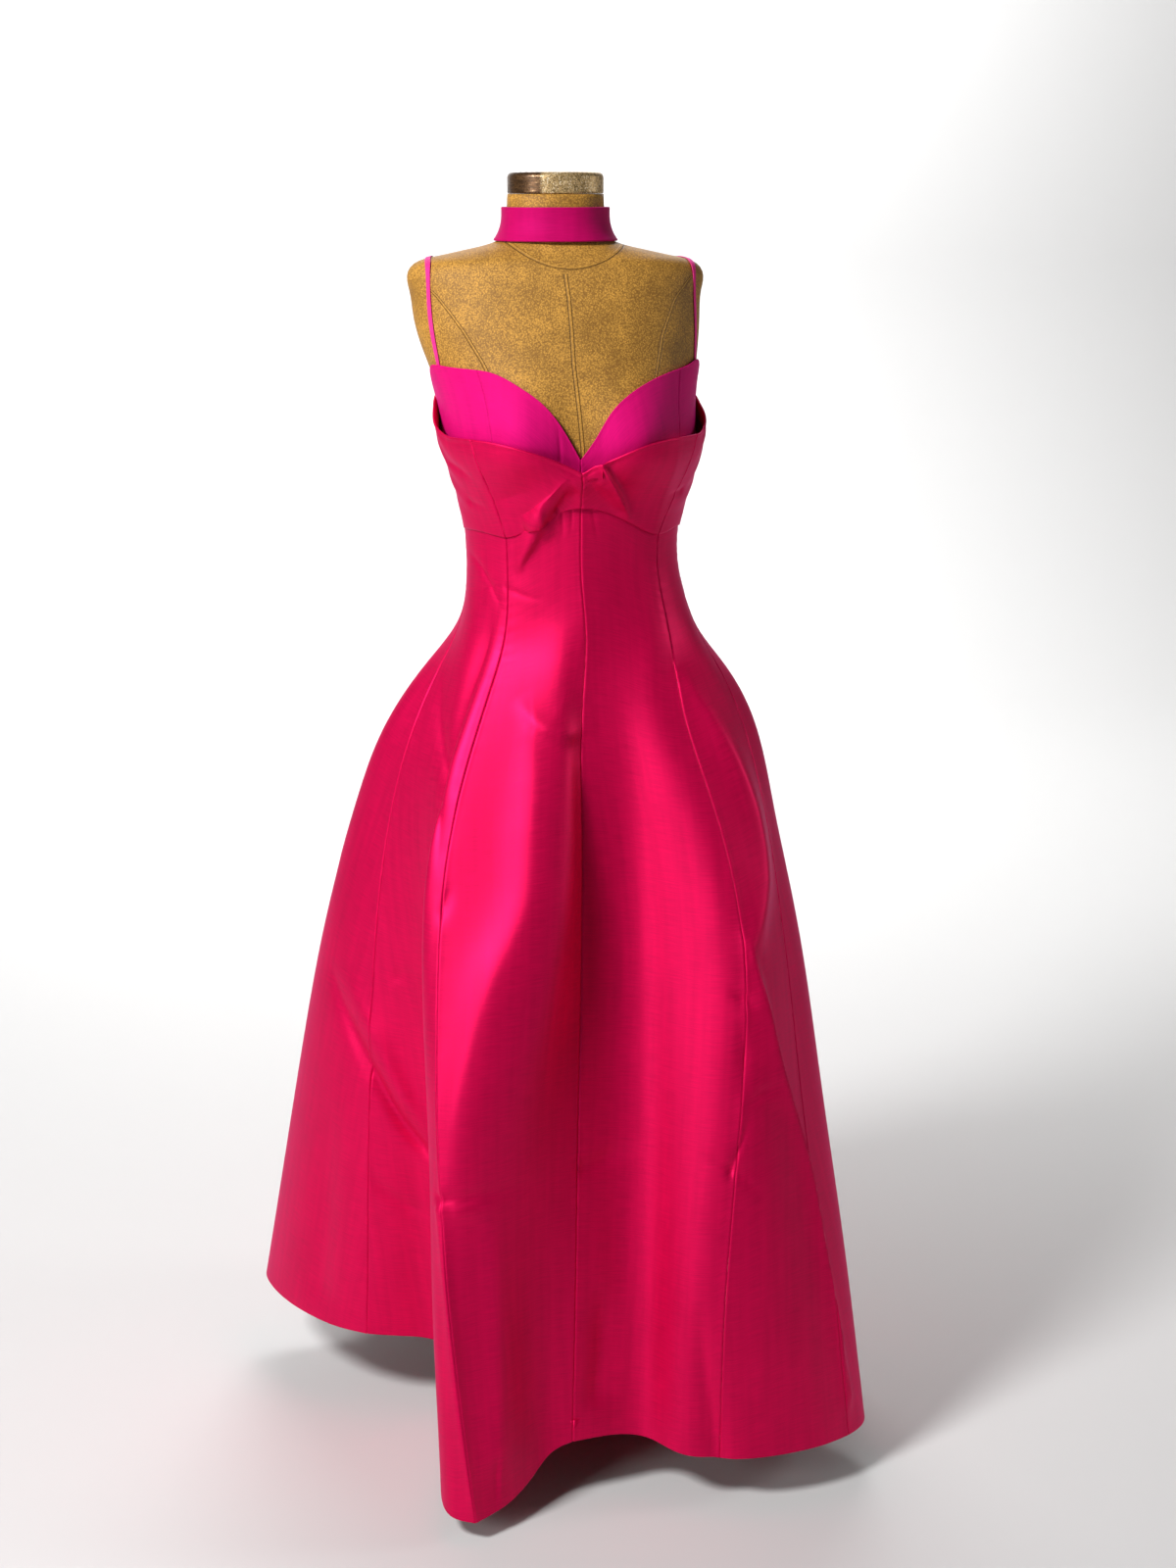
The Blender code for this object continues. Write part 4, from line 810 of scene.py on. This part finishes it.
# --- materials --------------------------------------------------------------------------------------
class Finish:
    """A material whose nodes are added by kind, with their sockets set or linked by name."""

    def __init__(self, name, colour):
        self.material = bpy.data.materials.new(name)
        self.material.use_nodes = True
        self.material.diffuse_color = (*colour, 1.0)
        self.nodes, self.links = self.material.node_tree.nodes, self.material.node_tree.links
        self.nodes.clear()

    def feed(self, socket, value):
        """Links a socket from another node's, or sets it to a plain value."""
        if isinstance(value, bpy.types.NodeSocket):
            self.links.new(value, socket)
        else:
            socket.default_value = value

    def add(self, kind, settings=None, **sockets):
        node = self.nodes.new(kind)
        for key, value in (settings or {}).items():
            setattr(node, key, value)
        for key, value in sockets.items():
            self.feed(node.inputs[key.replace("_", " ")], value)
        return node

    def place(self):
        """Where each point is on its object."""
        return self.add("ShaderNodeTexCoord").outputs["Object"]

    def mark(self, name):
        """The two numbers of a mesh attribute: how far each point is across a seam, and along it."""
        return self.parts(self.add("ShaderNodeAttribute", {"attribute_name": name}).outputs["Vector"])

    def bump(self, strength, distance, height, **sockets):
        return self.add("ShaderNodeBump", Strength=strength, Distance=distance, Height=height,
                        **sockets).outputs[0]

    def noise(self, vector, scale, detail=2.0, roughness=0.5, stretch=(1, 1, 1)):
        spread = self.add("ShaderNodeMapping", Vector=vector, Scale=stretch)
        return self.add("ShaderNodeTexNoise", Vector=spread.outputs[0], Scale=scale, Detail=detail,
                        Roughness=roughness).outputs["Fac"]

    def ramp(self, factor, stops):
        node = self.add("ShaderNodeValToRGB", Fac=factor)
        while len(node.color_ramp.elements) < len(stops):
            node.color_ramp.elements.new(0.5)
        for element, (place, value) in zip(node.color_ramp.elements, stops, strict=True):
            element.position = place
            element.color = (*value, 1.0)
        return node.outputs["Color"]

    def range(self, factor, low, high):
        return self.add("ShaderNodeMapRange", Value=factor, To_Min=low, To_Max=high).outputs[0]

    def math(self, operation, *values):
        node = self.add("ShaderNodeMath", {"operation": operation})
        for socket, value in zip(node.inputs, values, strict=False):
            self.feed(socket, value)
        return node.outputs[0]

    def sum(self, *terms):
        """The total of sockets, each times its own weight; a weight without a socket is added as it is."""
        total = 0.0
        for socket, weight in terms:
            total = self.math("ADD", total, weight if socket is None else self.times(socket, weight))
        return total

    def times(self, one, other):
        return self.math("MULTIPLY", one, other)

    def most(self, sockets):
        best = sockets[0]
        for socket in sockets[1:]:
            best = self.math("MAXIMUM", best, socket)
        return best

    def parts(self, vector):
        return self.add("ShaderNodeSeparateXYZ", Vector=vector).outputs[:2]

    def falling(self, value, start, end):
        """1 up to a start, falling smoothly to 0 at the end."""
        return self.add("ShaderNodeMapRange", {"interpolation_type": "SMOOTHSTEP"}, Value=value,
                        From_Min=start, From_Max=end, To_Min=1.0, To_Max=0.0).outputs[0]

    def line(self, place, middle, half):
        """1 along the middle of a line, falling to 0 half its width away."""
        away = self.math("ABSOLUTE", self.math("SUBTRACT", place, middle))
        return self.falling(away, 0.25 * half, half)

    def blend(self, factor, one, other):
        """One colour, going over to the other as the factor rises to 1."""
        node = self.add("ShaderNodeMix", {"data_type": "RGBA"})
        self.feed(node.inputs[0], factor)
        for number, value in ((6, one), (7, other)):
            linked = isinstance(value, bpy.types.NodeSocket)
            self.feed(node.inputs[number], value if linked else (*value, 1.0))
        return node.outputs[2]

    def close(self, **sockets):
        shader = self.add("ShaderNodeBsdfPrincipled", **sockets)
        self.add("ShaderNodeOutputMaterial", Surface=shader.outputs[0])
        return self.material


def shade(colour, factor):
    return tuple(min(1.0, channel * factor) for channel in colour)


def satin_finish(name, colour, gloss, roughness, shine, sheen):
    """Cloth with a fine crosswise rib, thicker threads here and there, long streaks and a soft shine."""
    found = bpy.data.materials.get(name)
    if found:
        return found
    finish = Finish(name, colour)
    cut = finish.add("ShaderNodeUVMap", {"uv_map": "cut"}).outputs[0]
    slubs = finish.noise(cut, 1.0, detail=3.0, stretch=(40, 760, 1))
    rib = finish.noise(cut, 1.0, detail=1.0, stretch=(260, 2000, 1))
    streaks = finish.noise(cut, 1.0, detail=3.0, stretch=(120, 7, 1))
    patches = finish.noise(cut, 14.0, detail=2.0)
    tone = finish.sum((slubs, 0.50), (patches, 0.20), (streaks, 0.30))
    base = finish.ramp(tone, ((0.36, shade(colour, 0.87)), (0.50, colour), (0.64, shade(colour, 1.12))))
    height = finish.sum((slubs, 0.55), (rib, 0.35), (streaks, 0.10))
    return finish.close(
        Base_Color=base, Roughness=finish.range(slubs, roughness - 0.05, roughness + 0.08), Metallic=shine,
        Normal=finish.bump(0.45, 0.14 * MM, height), Specular_IOR_Level=0.36, Specular_Tint=(*gloss, 1.0),
        Sheen_Weight=sheen, Sheen_Roughness=0.35, Sheen_Tint=(*gloss, 1.0))


def satin():
    return satin_finish("hot_pink_satin", colours().satin, colours().satin_gloss, 0.49, 0.50, 0.0)


def crepe(name, colour):
    return satin_finish(name, colour, colours().crepe_gloss, 0.66, 0.06, 0.20)


def leather_finish():
    """Suede-like leather: a fine pebbled nap, soft darker patches, and the cover's stitched seams.

    A seam down the form is two narrow grooves with a raised band between them. The neck's is one groove, with
    a band below it and a row of stitches at the band's far side.
    Besides their bump, the grooves are painted dark as a painted shadow, and the bands are painted lighter as
    a painted highlight.
    """
    plain, dark = colours().leather, colours().leather_dark
    finish = Finish("form_leather", plain)
    place = finish.place()
    patches = finish.noise(place, 26.0, detail=8.0, roughness=0.68)
    nap = finish.noise(place, 520.0, detail=3.0, roughness=0.65)
    pebbles = finish.add("ShaderNodeTexVoronoi", {"feature": "SMOOTH_F1"}, Vector=place, Scale=560.0,
                         Smoothness=0.35, Randomness=1.0).outputs["Distance"]
    tone = finish.sum((patches, 0.50), (nap, 0.40), (pebbles, -0.40), (None, 0.23))
    base = finish.ramp(tone, ((0.34, dark), (0.45, shade(plain, 0.74)), (0.53, plain),
                              (0.64, shade(plain, 1.42))))

    grooves, bands = [], []
    for seam in FORM_SEAMS:
        across, _ = finish.mark(seam.name)
        grooves += [finish.line(across, 0.0, 0.9 * MM), finish.line(across, 3.8 * MM, 0.7 * MM)]
        bands.append(finish.line(across, 1.9 * MM, 2.2 * MM))
    across, along = finish.mark("neck_seam")
    grooves.append(finish.line(across, 0.0, 1.1 * MM))
    bands.append(finish.line(across, -2.6 * MM, 2.4 * MM))
    step = finish.math("PINGPONG", along, 1.6 * MM)
    stitches = finish.times(finish.line(across, -3.2 * MM, 0.6 * MM), finish.line(step, 1.6 * MM, 1.3 * MM))
    groove, band = finish.most(grooves), finish.most(bands)
    # Painted light: the raised bands are painted lighter as a highlight, and the grooves are painted dark as
    # their shadow.
    base = finish.blend(finish.times(band, 0.30), base, shade(plain, 1.45))
    base = finish.blend(finish.times(stitches, 0.65), base, shade(dark, 0.8))
    base = finish.blend(finish.times(groove, 0.72), base, shade(dark, 0.55))

    grain = finish.bump(0.55, 0.4 * MM, finish.sum((pebbles, 0.55), (nap, 0.45)))
    relief = finish.sum((band, 0.45), (groove, -1.0), (stitches, 0.5))
    return finish.close(
        Base_Color=base, Roughness=finish.range(tone, 0.56, 0.74),
        Normal=finish.bump(1.0, 0.8 * MM, relief, Normal=grain), Specular_IOR_Level=0.3,
        Sheen_Weight=0.12, Sheen_Roughness=0.5, Sheen_Tint=(*plain, 1.0))


def gold_finish():
    """Bronze-gold leaf: a pale glitter over most of the cap, worn smooth and dark at the wearer's right."""
    plain = colours().gold
    finish = Finish("cap_gold", plain)
    place = finish.place()
    flakes = finish.add("ShaderNodeTexVoronoi", Vector=place, Scale=900.0)
    speckle = finish.add("ShaderNodeTexWhiteNoise", Vector=flakes.outputs["Position"]).outputs["Value"]
    cloudy = finish.noise(place, 60.0, detail=6.0, roughness=0.7)
    streaks = finish.noise(place, 1.0, detail=5.0, roughness=0.7, stretch=(60, 60, 420))
    x, _ = finish.parts(place)
    worn = finish.falling(finish.sum((x, 1.0), (cloudy, 9 * MM)), -17 * MM, -11 * MM)
    bright = finish.ramp(finish.sum((speckle, 0.45), (cloudy, 0.55)), (
        (0.28, shade(plain, 0.45)), (0.46, plain), (0.62, shade(plain, 1.5)), (0.80, (0.9, 0.8, 0.6))))
    smooth = finish.ramp(streaks, (
        (0.42, (0.060, 0.030, 0.012)), (0.62, (0.135, 0.065, 0.025)), (0.78, (0.42, 0.28, 0.14))))
    return finish.close(
        Base_Color=finish.blend(worn, bright, smooth), Metallic=0.6,
        Roughness=finish.sum((speckle, 0.25), (worn, -0.12), (None, 0.34)),
        Normal=finish.bump(0.6, 0.35 * MM, finish.times(speckle, finish.range(worn, 1.0, 0.1))))


def painted_finish(name, colour, metallic, roughness):
    """Painted or enamelled metal with a faint orange-peel surface."""
    finish = Finish(name, colour)
    place = finish.place()
    marks = finish.noise(place, 30.0, detail=4.0)
    return finish.close(
        Base_Color=finish.ramp(marks, ((0.3, shade(colour, 0.85)), (0.7, shade(colour, 1.1)))),
        Metallic=metallic, Roughness=finish.range(marks, roughness - 0.05, roughness + 0.08),
        Normal=finish.bump(0.15, 0.1 * MM, finish.noise(place, 260.0, detail=2.0)))


# --- the pieces -------------------------------------------------------------------------------------
def sewn_panels(nodes, creases, seed, cells, rows, closed=False, ease=None):
    """The smooth surfaces of panels that are sewn side by side, with their creases and seams.

    Each panel has its own cell size. The rows' fine step, coarse step and the depth of the fine ones are the
    same for all. Ease gives the width within which a panel's skin is evened out first.
    """
    size = sizes()
    grids = [hung_grid(node) for node in nodes]
    levels = shared_rows(grids, *rows)
    surfaces = [ClothSurface(cloth_grid(grid, cell, levels)) for grid, cell in zip(grids, cells, strict=True)]
    for node, width in (ease or {}).items():
        surfaces[nodes.index(node)].relax(width)
    join_edges(surfaces, closed)
    paths = [CreasePath(crease, surfaces) for crease in creases]
    for surface in surfaces:
        surface.push(sum(path.lift(surface.points, surface.normal) for path in paths))
    join_edges(surfaces, closed)
    for number, surface in enumerate(surfaces, seed):
        surface.sew_sides(size.seam_depth, size.seam_reach, size.seam_lip, size.pucker, number)
    close_seams(surfaces, closed)
    for surface in surfaces:
        surface.measure()
    return surfaces


class DRESS_OT_skirt(bpy.types.Operator):
    """Hang the eight skirt panels"""

    bl_idname = "dress.skirt"
    bl_label = "Skirt panels"

    def execute(self, context):
        size = context.scene.dress_sizes
        stitch_depth, stitch_width, stitch_length = 0.12 * MM, 1.3 * MM, 1.5 * MM
        surfaces = sewn_panels(
            SKIRT, SKIRT_CREASES, 0, [size.cell if "front" in node else 1.55 * size.cell for node in SKIRT],
            (2.4 * MM, 5.9 * MM, 130 * MM), closed=True,
            ease={"skirt_front_centre_right": 14 * MM, "skirt_front_centre_left": 8 * MM})
        for node, surface in zip(SKIRT, surfaces, strict=True):
            stitches = 0.6 + 0.4 * np.sin(surface.across / stitch_length)
            surface.push(-stitch_depth * bell(surface.from_end - size.hem, stitch_width) * stitches)
            surface.turn_edge(-1, size.fold_radius, size.hem)
            add_cloth(node, surface, satin())
        return {"FINISHED"}


class DRESS_OT_outer_layer(bpy.types.Operator):
    """Fold the outer layer of the bodice over the cups"""

    bl_idname = "dress.outer_layer"
    bl_label = "Outer layer of the bodice"

    def execute(self, context):
        size, cell = context.scene.dress_sizes, 1.5 * MM
        drawn_in, fold_radius, fold_swell, fold_dip = 1.6 * MM, 1.2 * MM, 0.45 * MM, 0.2 * MM
        surfaces = sewn_panels(OUTER_LAYER, LAYER_CREASES, 20, [cell] * 4, (cell, cell, 50 * MM),
                               ease={"layer_centre_left": 6 * MM})
        for surface, edge in ((surfaces[0], 0), (surfaces[-1], -1)):
            surface.push(-drawn_in * bell(surface.from_edge(edge), 7 * MM))
        for node, surface in zip(OUTER_LAYER, surfaces, strict=True):
            swell = fold_swell * bell(surface.down, 2.2 * MM)
            surface.push(swell - fold_dip * bell(surface.down - 4.5 * MM, 1.6 * MM))
            surface.turn_edge(0, fold_radius, size.facing)
            add_cloth(node, surface, satin())
        return {"FINISHED"}


class DRESS_OT_cups(bpy.types.Operator):
    """Shape the cups and the back of the bodice"""

    bl_idname = "dress.cups"
    bl_label = "Cups and back bodice"

    def execute(self, context):
        size, cell = context.scene.dress_sizes, 2.4 * MM
        edge_swell, edge_radius = 0.3 * MM, 0.8 * MM
        for nodes, seed in ((CUPS, 40), (BACK_BODICE, 50)):
            surfaces = sewn_panels(nodes, CUP_CREASES, seed, [cell] * len(nodes), (cell, cell, 50 * MM))
            for node, surface in zip(nodes, surfaces, strict=True):
                surface.push(edge_swell * bell(surface.down, 1.8 * MM))
                surface.turn_edge(0, edge_radius, size.facing)
                add_cloth(node, surface, crepe("cup_crepe", colours().crepe))
        return {"FINISHED"}


class DRESS_OT_neckband(bpy.types.Operator):
    """Wrap the doubled neckband round the neck"""

    bl_idname = "dress.neckband"
    bl_label = "Neckband"

    def execute(self, context):
        columns, cell, edge_radius, facing = 36, 2.2 * MM, 1.1 * MM, 12 * MM
        rest, hollow, flare = 0.1 * MM, 0.7 * MM, 1.1 * MM
        outer = []
        for ring in rings_of("neckband", columns)[::-1]:
            pairs = np.array(ring).reshape(columns, 2, 3)
            middle = pairs.mean(axis=(0, 1))
            far = np.linalg.norm((pairs - middle)[..., :2], axis=-1).argmax(axis=1)
            row = pairs[np.arange(columns), far]
            outer.append(np.concatenate([row, row[:1]]))
        surface = ClothSurface(cloth_grid(np.array(outer), cell))
        share = surface.down / surface.down[-1].max()
        surface.push(rest - hollow * np.sin(math.pi * share) + flare * share**6)
        for end in (0, -1):
            surface.turn_edge(end, edge_radius, facing)
        # The neckband gets the cups' crepe darkened: painted shade.
        add_cloth("neckband", surface, crepe("neckband_crepe", colours().neckband))
        return {"FINISHED"}


def strap_section(half, thick, steps=24, gap=0.04, squareness=0.45, flatness=0.7):
    """The section of a folded strap, as places across and out, open by a hair underneath."""
    section = []
    for turn in np.linspace(-(1 - gap) * math.pi, (1 - gap) * math.pi, steps + 1):
        x, z = math.sin(turn), math.cos(turn)
        section.append((half * math.copysign(abs(x) ** squareness, x),
                        thick * (math.copysign(abs(z) ** flatness, z) - 1)))
    return section


class DRESS_OT_straps(bpy.types.Operator):
    """Lay the folded straps over the shoulders"""

    bl_idname = "dress.straps"
    bl_label = "Straps"

    def execute(self, context):
        half, thick, wall, step = 3.2 * MM, 0.55 * MM, 0.3 * MM, 2 * MM
        for node in STRAPS:
            grid = skin_grid(node)
            grid = grid if grid.shape[0] > grid.shape[1] else grid.transpose(1, 0, 2)
            if grid[0, 0, 1] > grid[-1, 0, 1]:
                grid = grid[::-1]
            grid = faced(grid, grid - np.array(AXIS))
            along = run_of(grid.mean(axis=1), 0)
            places = np.linspace(0, along[-1], round(along[-1] / step))
            left, right = spline(along, grid[:, 0], places), spline(along, grid[:, -1], places)
            middle, side = (left + right) / 2, unit(right - left)
            out = unit(np.cross(np.gradient(middle, axis=0), side))
            lines = [middle + side * x + out * z for x, z in strap_section(half, thick)]
            surface = ClothSurface(np.array(lines).transpose(1, 0, 2))
            # The straps get the cups' crepe lightened: a painted sheen.
            piece = add_cloth(node, surface, crepe("strap_crepe", colours().strap))
            piece.modifiers["cloth thickness"].thickness = wall
        return {"FINISHED"}


def seam_places(surface, seam, far_away=100 * MM):
    """How far every point of the cover is across a seam that runs down it, and along it.

    A point above or below the seam's ends is given a place far to its side, so that nothing is drawn there.
    """
    rows = np.array(seam.rows)[::-1] * MM
    across, z = np.zeros(surface.down.shape), surface.points[:, 0, 2]
    crossing = np.interp(z, rows[:, 0], rows[:, 1])
    for j, row in enumerate(surface.points):
        side = np.flatnonzero((row[:, 1] > 0) == seam.behind)
        nearest = side[np.abs(row[side, 0] - crossing[j]).argmin()]
        run = run_of(row, 0)
        slope = np.gradient(run, row[:, 0] + 1e-9 * np.arange(len(row)))[nearest]
        across[j] = run - run[nearest] - (crossing[j] - row[nearest, 0]) * slope
    outside = (z > rows[-1, 0]) | (z < rows[0, 0])
    across[outside] += far_away * np.where(across[outside] < 0, -1, 1)
    return np.stack([across, surface.down], axis=-1)


def neck_seam_places(surface):
    """How far every point of the cover is below the seam round the foot of the neck, and round it."""
    points, down = surface.points, surface.down
    rise = NECK_SEAM_RISE * ((points[..., 0] - AXIS.x) / NECK_SEAM_HALF) ** 2
    height = points[..., 2] - NECK_SEAM_LOW - rise
    first_below, columns = np.argmax(height < 0, axis=0), np.arange(points.shape[1])
    above, below = (first_below - 1, columns), (first_below, columns)
    share = height[above] / (height[above] - height[below])
    seam = down[above] + share * (down[below] - down[above])
    round_neck = np.linspace(0, NECK_SEAM_LENGTH, points.shape[1])
    return np.stack([down - seam, np.broadcast_to(round_neck, down.shape)], axis=-1)


class DRESS_OT_form_cover(bpy.types.Operator):
    """Stretch the leather cover over the dress form"""

    bl_idname = "dress.form_cover"
    bl_label = "Form cover"

    def execute(self, context):
        columns, wrap, finer, cell = 40, 3, 4, 5 * MM
        rings = np.array(rings_of("dress_form_body", columns))
        around = np.concatenate([rings[:, -wrap:], rings, rings[:, : wrap + 1]], axis=1)
        knots = np.arange(-wrap, columns + wrap + 1)
        fine = spline(knots, around.transpose(1, 0, 2), np.linspace(0, columns, finer * columns + 1))
        fine = fine.transpose(1, 0, 2)
        down = run_of(fine, 0).mean(axis=1)
        surface = ClothSurface(spline(down, fine, spaced(down[-1], cell, (0.0,)))[::-1])
        marks = {seam.name: seam_places(surface, seam) for seam in FORM_SEAMS}
        marks["neck_seam"] = neck_seam_places(surface)
        add_closed("form_cover", "dress_form_body", surface, leather_finish(), marks)
        return {"FINISHED"}


def cap_levels(low, high, rounding):
    """The heights of the cap's rows with how far each lies inside its outline, from the foot up."""
    levels = [(low, 1.2 * MM), (low + 0.5 * MM, 0.4 * MM), (low + 1.2 * MM, 0.0)]
    levels += [(z, 0.0) for z in np.linspace(low + 3 * MM, high - rounding, 5)]
    for turn in np.linspace(0, math.pi / 2, 9)[1:]:
        levels.append((high - rounding * (1 - math.sin(turn)), rounding * (1 - math.cos(turn))))
    return levels


class DRESS_OT_cap(bpy.types.Operator):
    """Turn the rounded cap of the neck"""

    bl_idname = "dress.cap"
    bl_label = "Neck cap"

    def execute(self, context):
        columns, finer, rounding = 40, 3, 6 * MM
        rings = np.array(rings_of("dress_form_cap", columns))
        outline = np.concatenate([rings[1], rings[1][:1]])
        fine = spline(np.arange(columns + 1), outline, np.linspace(0, columns, finer * columns + 1))
        middle = fine[:-1].mean(axis=0)
        out = unit((fine - middle) * (1, 1, 0))
        low, high = rings[..., 2].min(), rings[..., 2].max()
        rows = [(fine - out * inset) * (1, 1, 0) + (0, 0, z) for z, inset in cap_levels(low, high, rounding)]
        edge, top = rows[-1], middle * (1, 1, 0) + (0, 0, high)
        rows += [edge + (top - edge) * share for share in (0.25, 0.5, 0.75, 1.0)]
        add_closed("neck_cap", "dress_form_cap", ClothSurface(rows[::-1]), gold_finish())
        return {"FINISHED"}


class DRESS_OT_stand(bpy.types.Operator):
    """Paint the pole, the foot and the zip's slider"""

    bl_idname = "dress.stand"
    bl_label = "Stand and zip"

    def execute(self, context):
        paint = painted_finish("stand_paint", colours().stand, 0.6, 0.42)
        enamel = painted_finish("zip_enamel", colours().zip, 0.2, 0.30)
        for node, material in (("stand_pole", paint), ("stand_base", paint), ("back_zip_slider", enamel),
                               ("back_zip_pull", enamel)):
            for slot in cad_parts[node].material_slots:
                slot.material = material
        return {"FINISHED"}


def add_floor(half=9.0, wall_y=4.8, wall_height=5.0, bend_radius=1.2, below=0.2 * MM):
    """The floor, which bends up into a backdrop behind the dress."""
    bm = bmesh.new()
    bmesh.ops.create_grid(bm, x_segments=1, y_segments=1, size=half)
    far = [edge for edge in bm.edges if all(vert.co.y > 0 for vert in edge.verts)]
    for vert in bm.verts:
        vert.co.y = min(vert.co.y, wall_y)
    grown = bmesh.ops.extrude_edge_only(bm, edges=far)["geom"]
    raised = [vert for vert in grown if isinstance(vert, bmesh.types.BMVert)]
    bmesh.ops.translate(bm, verts=raised, vec=(0, 0, wall_height))
    bmesh.ops.bevel(bm, geom=far, offset=bend_radius, offset_type="OFFSET", segments=16, profile=0.5,
                    affect="EDGES", material=-1)
    bmesh.ops.translate(bm, verts=bm.verts, vec=(0, 0, -below))
    floor = add_object("floor", smooth_mesh("floor", bm))
    finish = Finish("floor_paint", colours().floor)
    floor.data.materials.append(finish.close(Base_Color=(*colours().floor, 1.0), Roughness=0.9))


def area_light(name, place, target, size, watts):
    light = bpy.data.lights.new(name, "AREA")
    light.shape, light.size, light.energy = "DISK", size, watts
    lamp = add_object(name, light)
    lamp.location = place
    lamp.rotation_euler = (Vector(target) - Vector(place)).to_track_quat("-Z", "Y").to_euler()


def add_lights(stage):
    waist, hip, backdrop = (0.0, 0.0, 1.0), (0.0, 0.0, 0.85), (0.0, 4.8, 0.9)
    area_light("key_light", (-1.70, -1.45, 2.6), waist, 0.7, stage.key)
    area_light("fill_light", (3.5, -0.2, 1.75), hip, 0.9, stage.fill)
    area_light("low_light", (-2.0, -1.8, 1.2), waist, 0.8, stage.low)
    area_light("back_light", (0.4, 1.7, 2.3), hip, 1.4, 0.55 * stage.fill)
    area_light("wall_light", (0.0, 2.9, 3.6), backdrop, 2.5, stage.wall)
    world = bpy.data.worlds.new("room")
    world.use_nodes = True
    even_light = world.node_tree.nodes["Background"].inputs
    even_light["Color"].default_value = (1, 1, 1, 1)
    even_light["Strength"].default_value = stage.sky
    bpy.context.scene.world = world


def add_camera(stage, turn=math.radians(-6.0), tilt=math.radians(14.26)):
    """A camera turned a little from straight ahead, and tilted down."""
    camera = bpy.data.cameras.new("camera")
    camera.sensor_fit, camera.sensor_height, camera.sensor_width = "VERTICAL", 36.0, 36.0
    camera.lens = stage.lens
    holder = add_object("camera", camera)
    holder.location = (-0.23697, -2.58942, 1.41)
    ahead = Vector((-math.sin(turn) * math.cos(tilt), math.cos(turn) * math.cos(tilt), -math.sin(tilt)))
    holder.rotation_euler = ahead.to_track_quat("-Z", "Y").to_euler()
    bpy.context.scene.camera = holder


class DRESS_OT_stage(bpy.types.Operator):
    """Set the floor, lights and camera"""

    bl_idname = "dress.stage"
    bl_label = "Stage"

    def execute(self, context):
        add_floor()
        add_lights(context.scene.dress_stage)
        add_camera(context.scene.dress_stage)
        context.scene.view_settings.view_transform = "Standard"
        return {"FINISHED"}


OPERATORS = (
    DRESS_OT_form_cover, DRESS_OT_cap, DRESS_OT_neckband, DRESS_OT_straps, DRESS_OT_cups,
    DRESS_OT_outer_layer, DRESS_OT_skirt, DRESS_OT_stand, DRESS_OT_stage,
)


class DRESS_PT_panel(bpy.types.Panel):
    """Sizes, colours and pieces of the dress"""

    bl_idname = "DRESS_PT_panel"
    bl_label = "Dress"
    bl_space_type = "VIEW_3D"
    bl_region_type = "UI"
    bl_category = "Dress"

    def draw(self, context):
        for group in (context.scene.dress_sizes, context.scene.dress_colours, context.scene.dress_stage):
            box = self.layout.box()
            for key in group.__annotations__:
                box.prop(group, key)
        for operator in OPERATORS:
            self.layout.operator(operator.bl_idname)


CLASSES = (DressSizes, DressColours, DressStage, *OPERATORS, DRESS_PT_panel)


def register():
    for each in CLASSES:
        bpy.utils.register_class(each)
    bpy.types.Scene.dress_sizes = PointerProperty(type=DressSizes)
    bpy.types.Scene.dress_colours = PointerProperty(type=DressColours)
    bpy.types.Scene.dress_stage = PointerProperty(type=DressStage)


def unregister():
    del bpy.types.Scene.dress_stage, bpy.types.Scene.dress_colours, bpy.types.Scene.dress_sizes
    for each in reversed(CLASSES):
        bpy.utils.unregister_class(each)


def main():
    register()
    for operator in OPERATORS:
        getattr(bpy.ops.dress, operator.bl_idname.split(".")[1])()


if __name__ == "__main__":
    main()
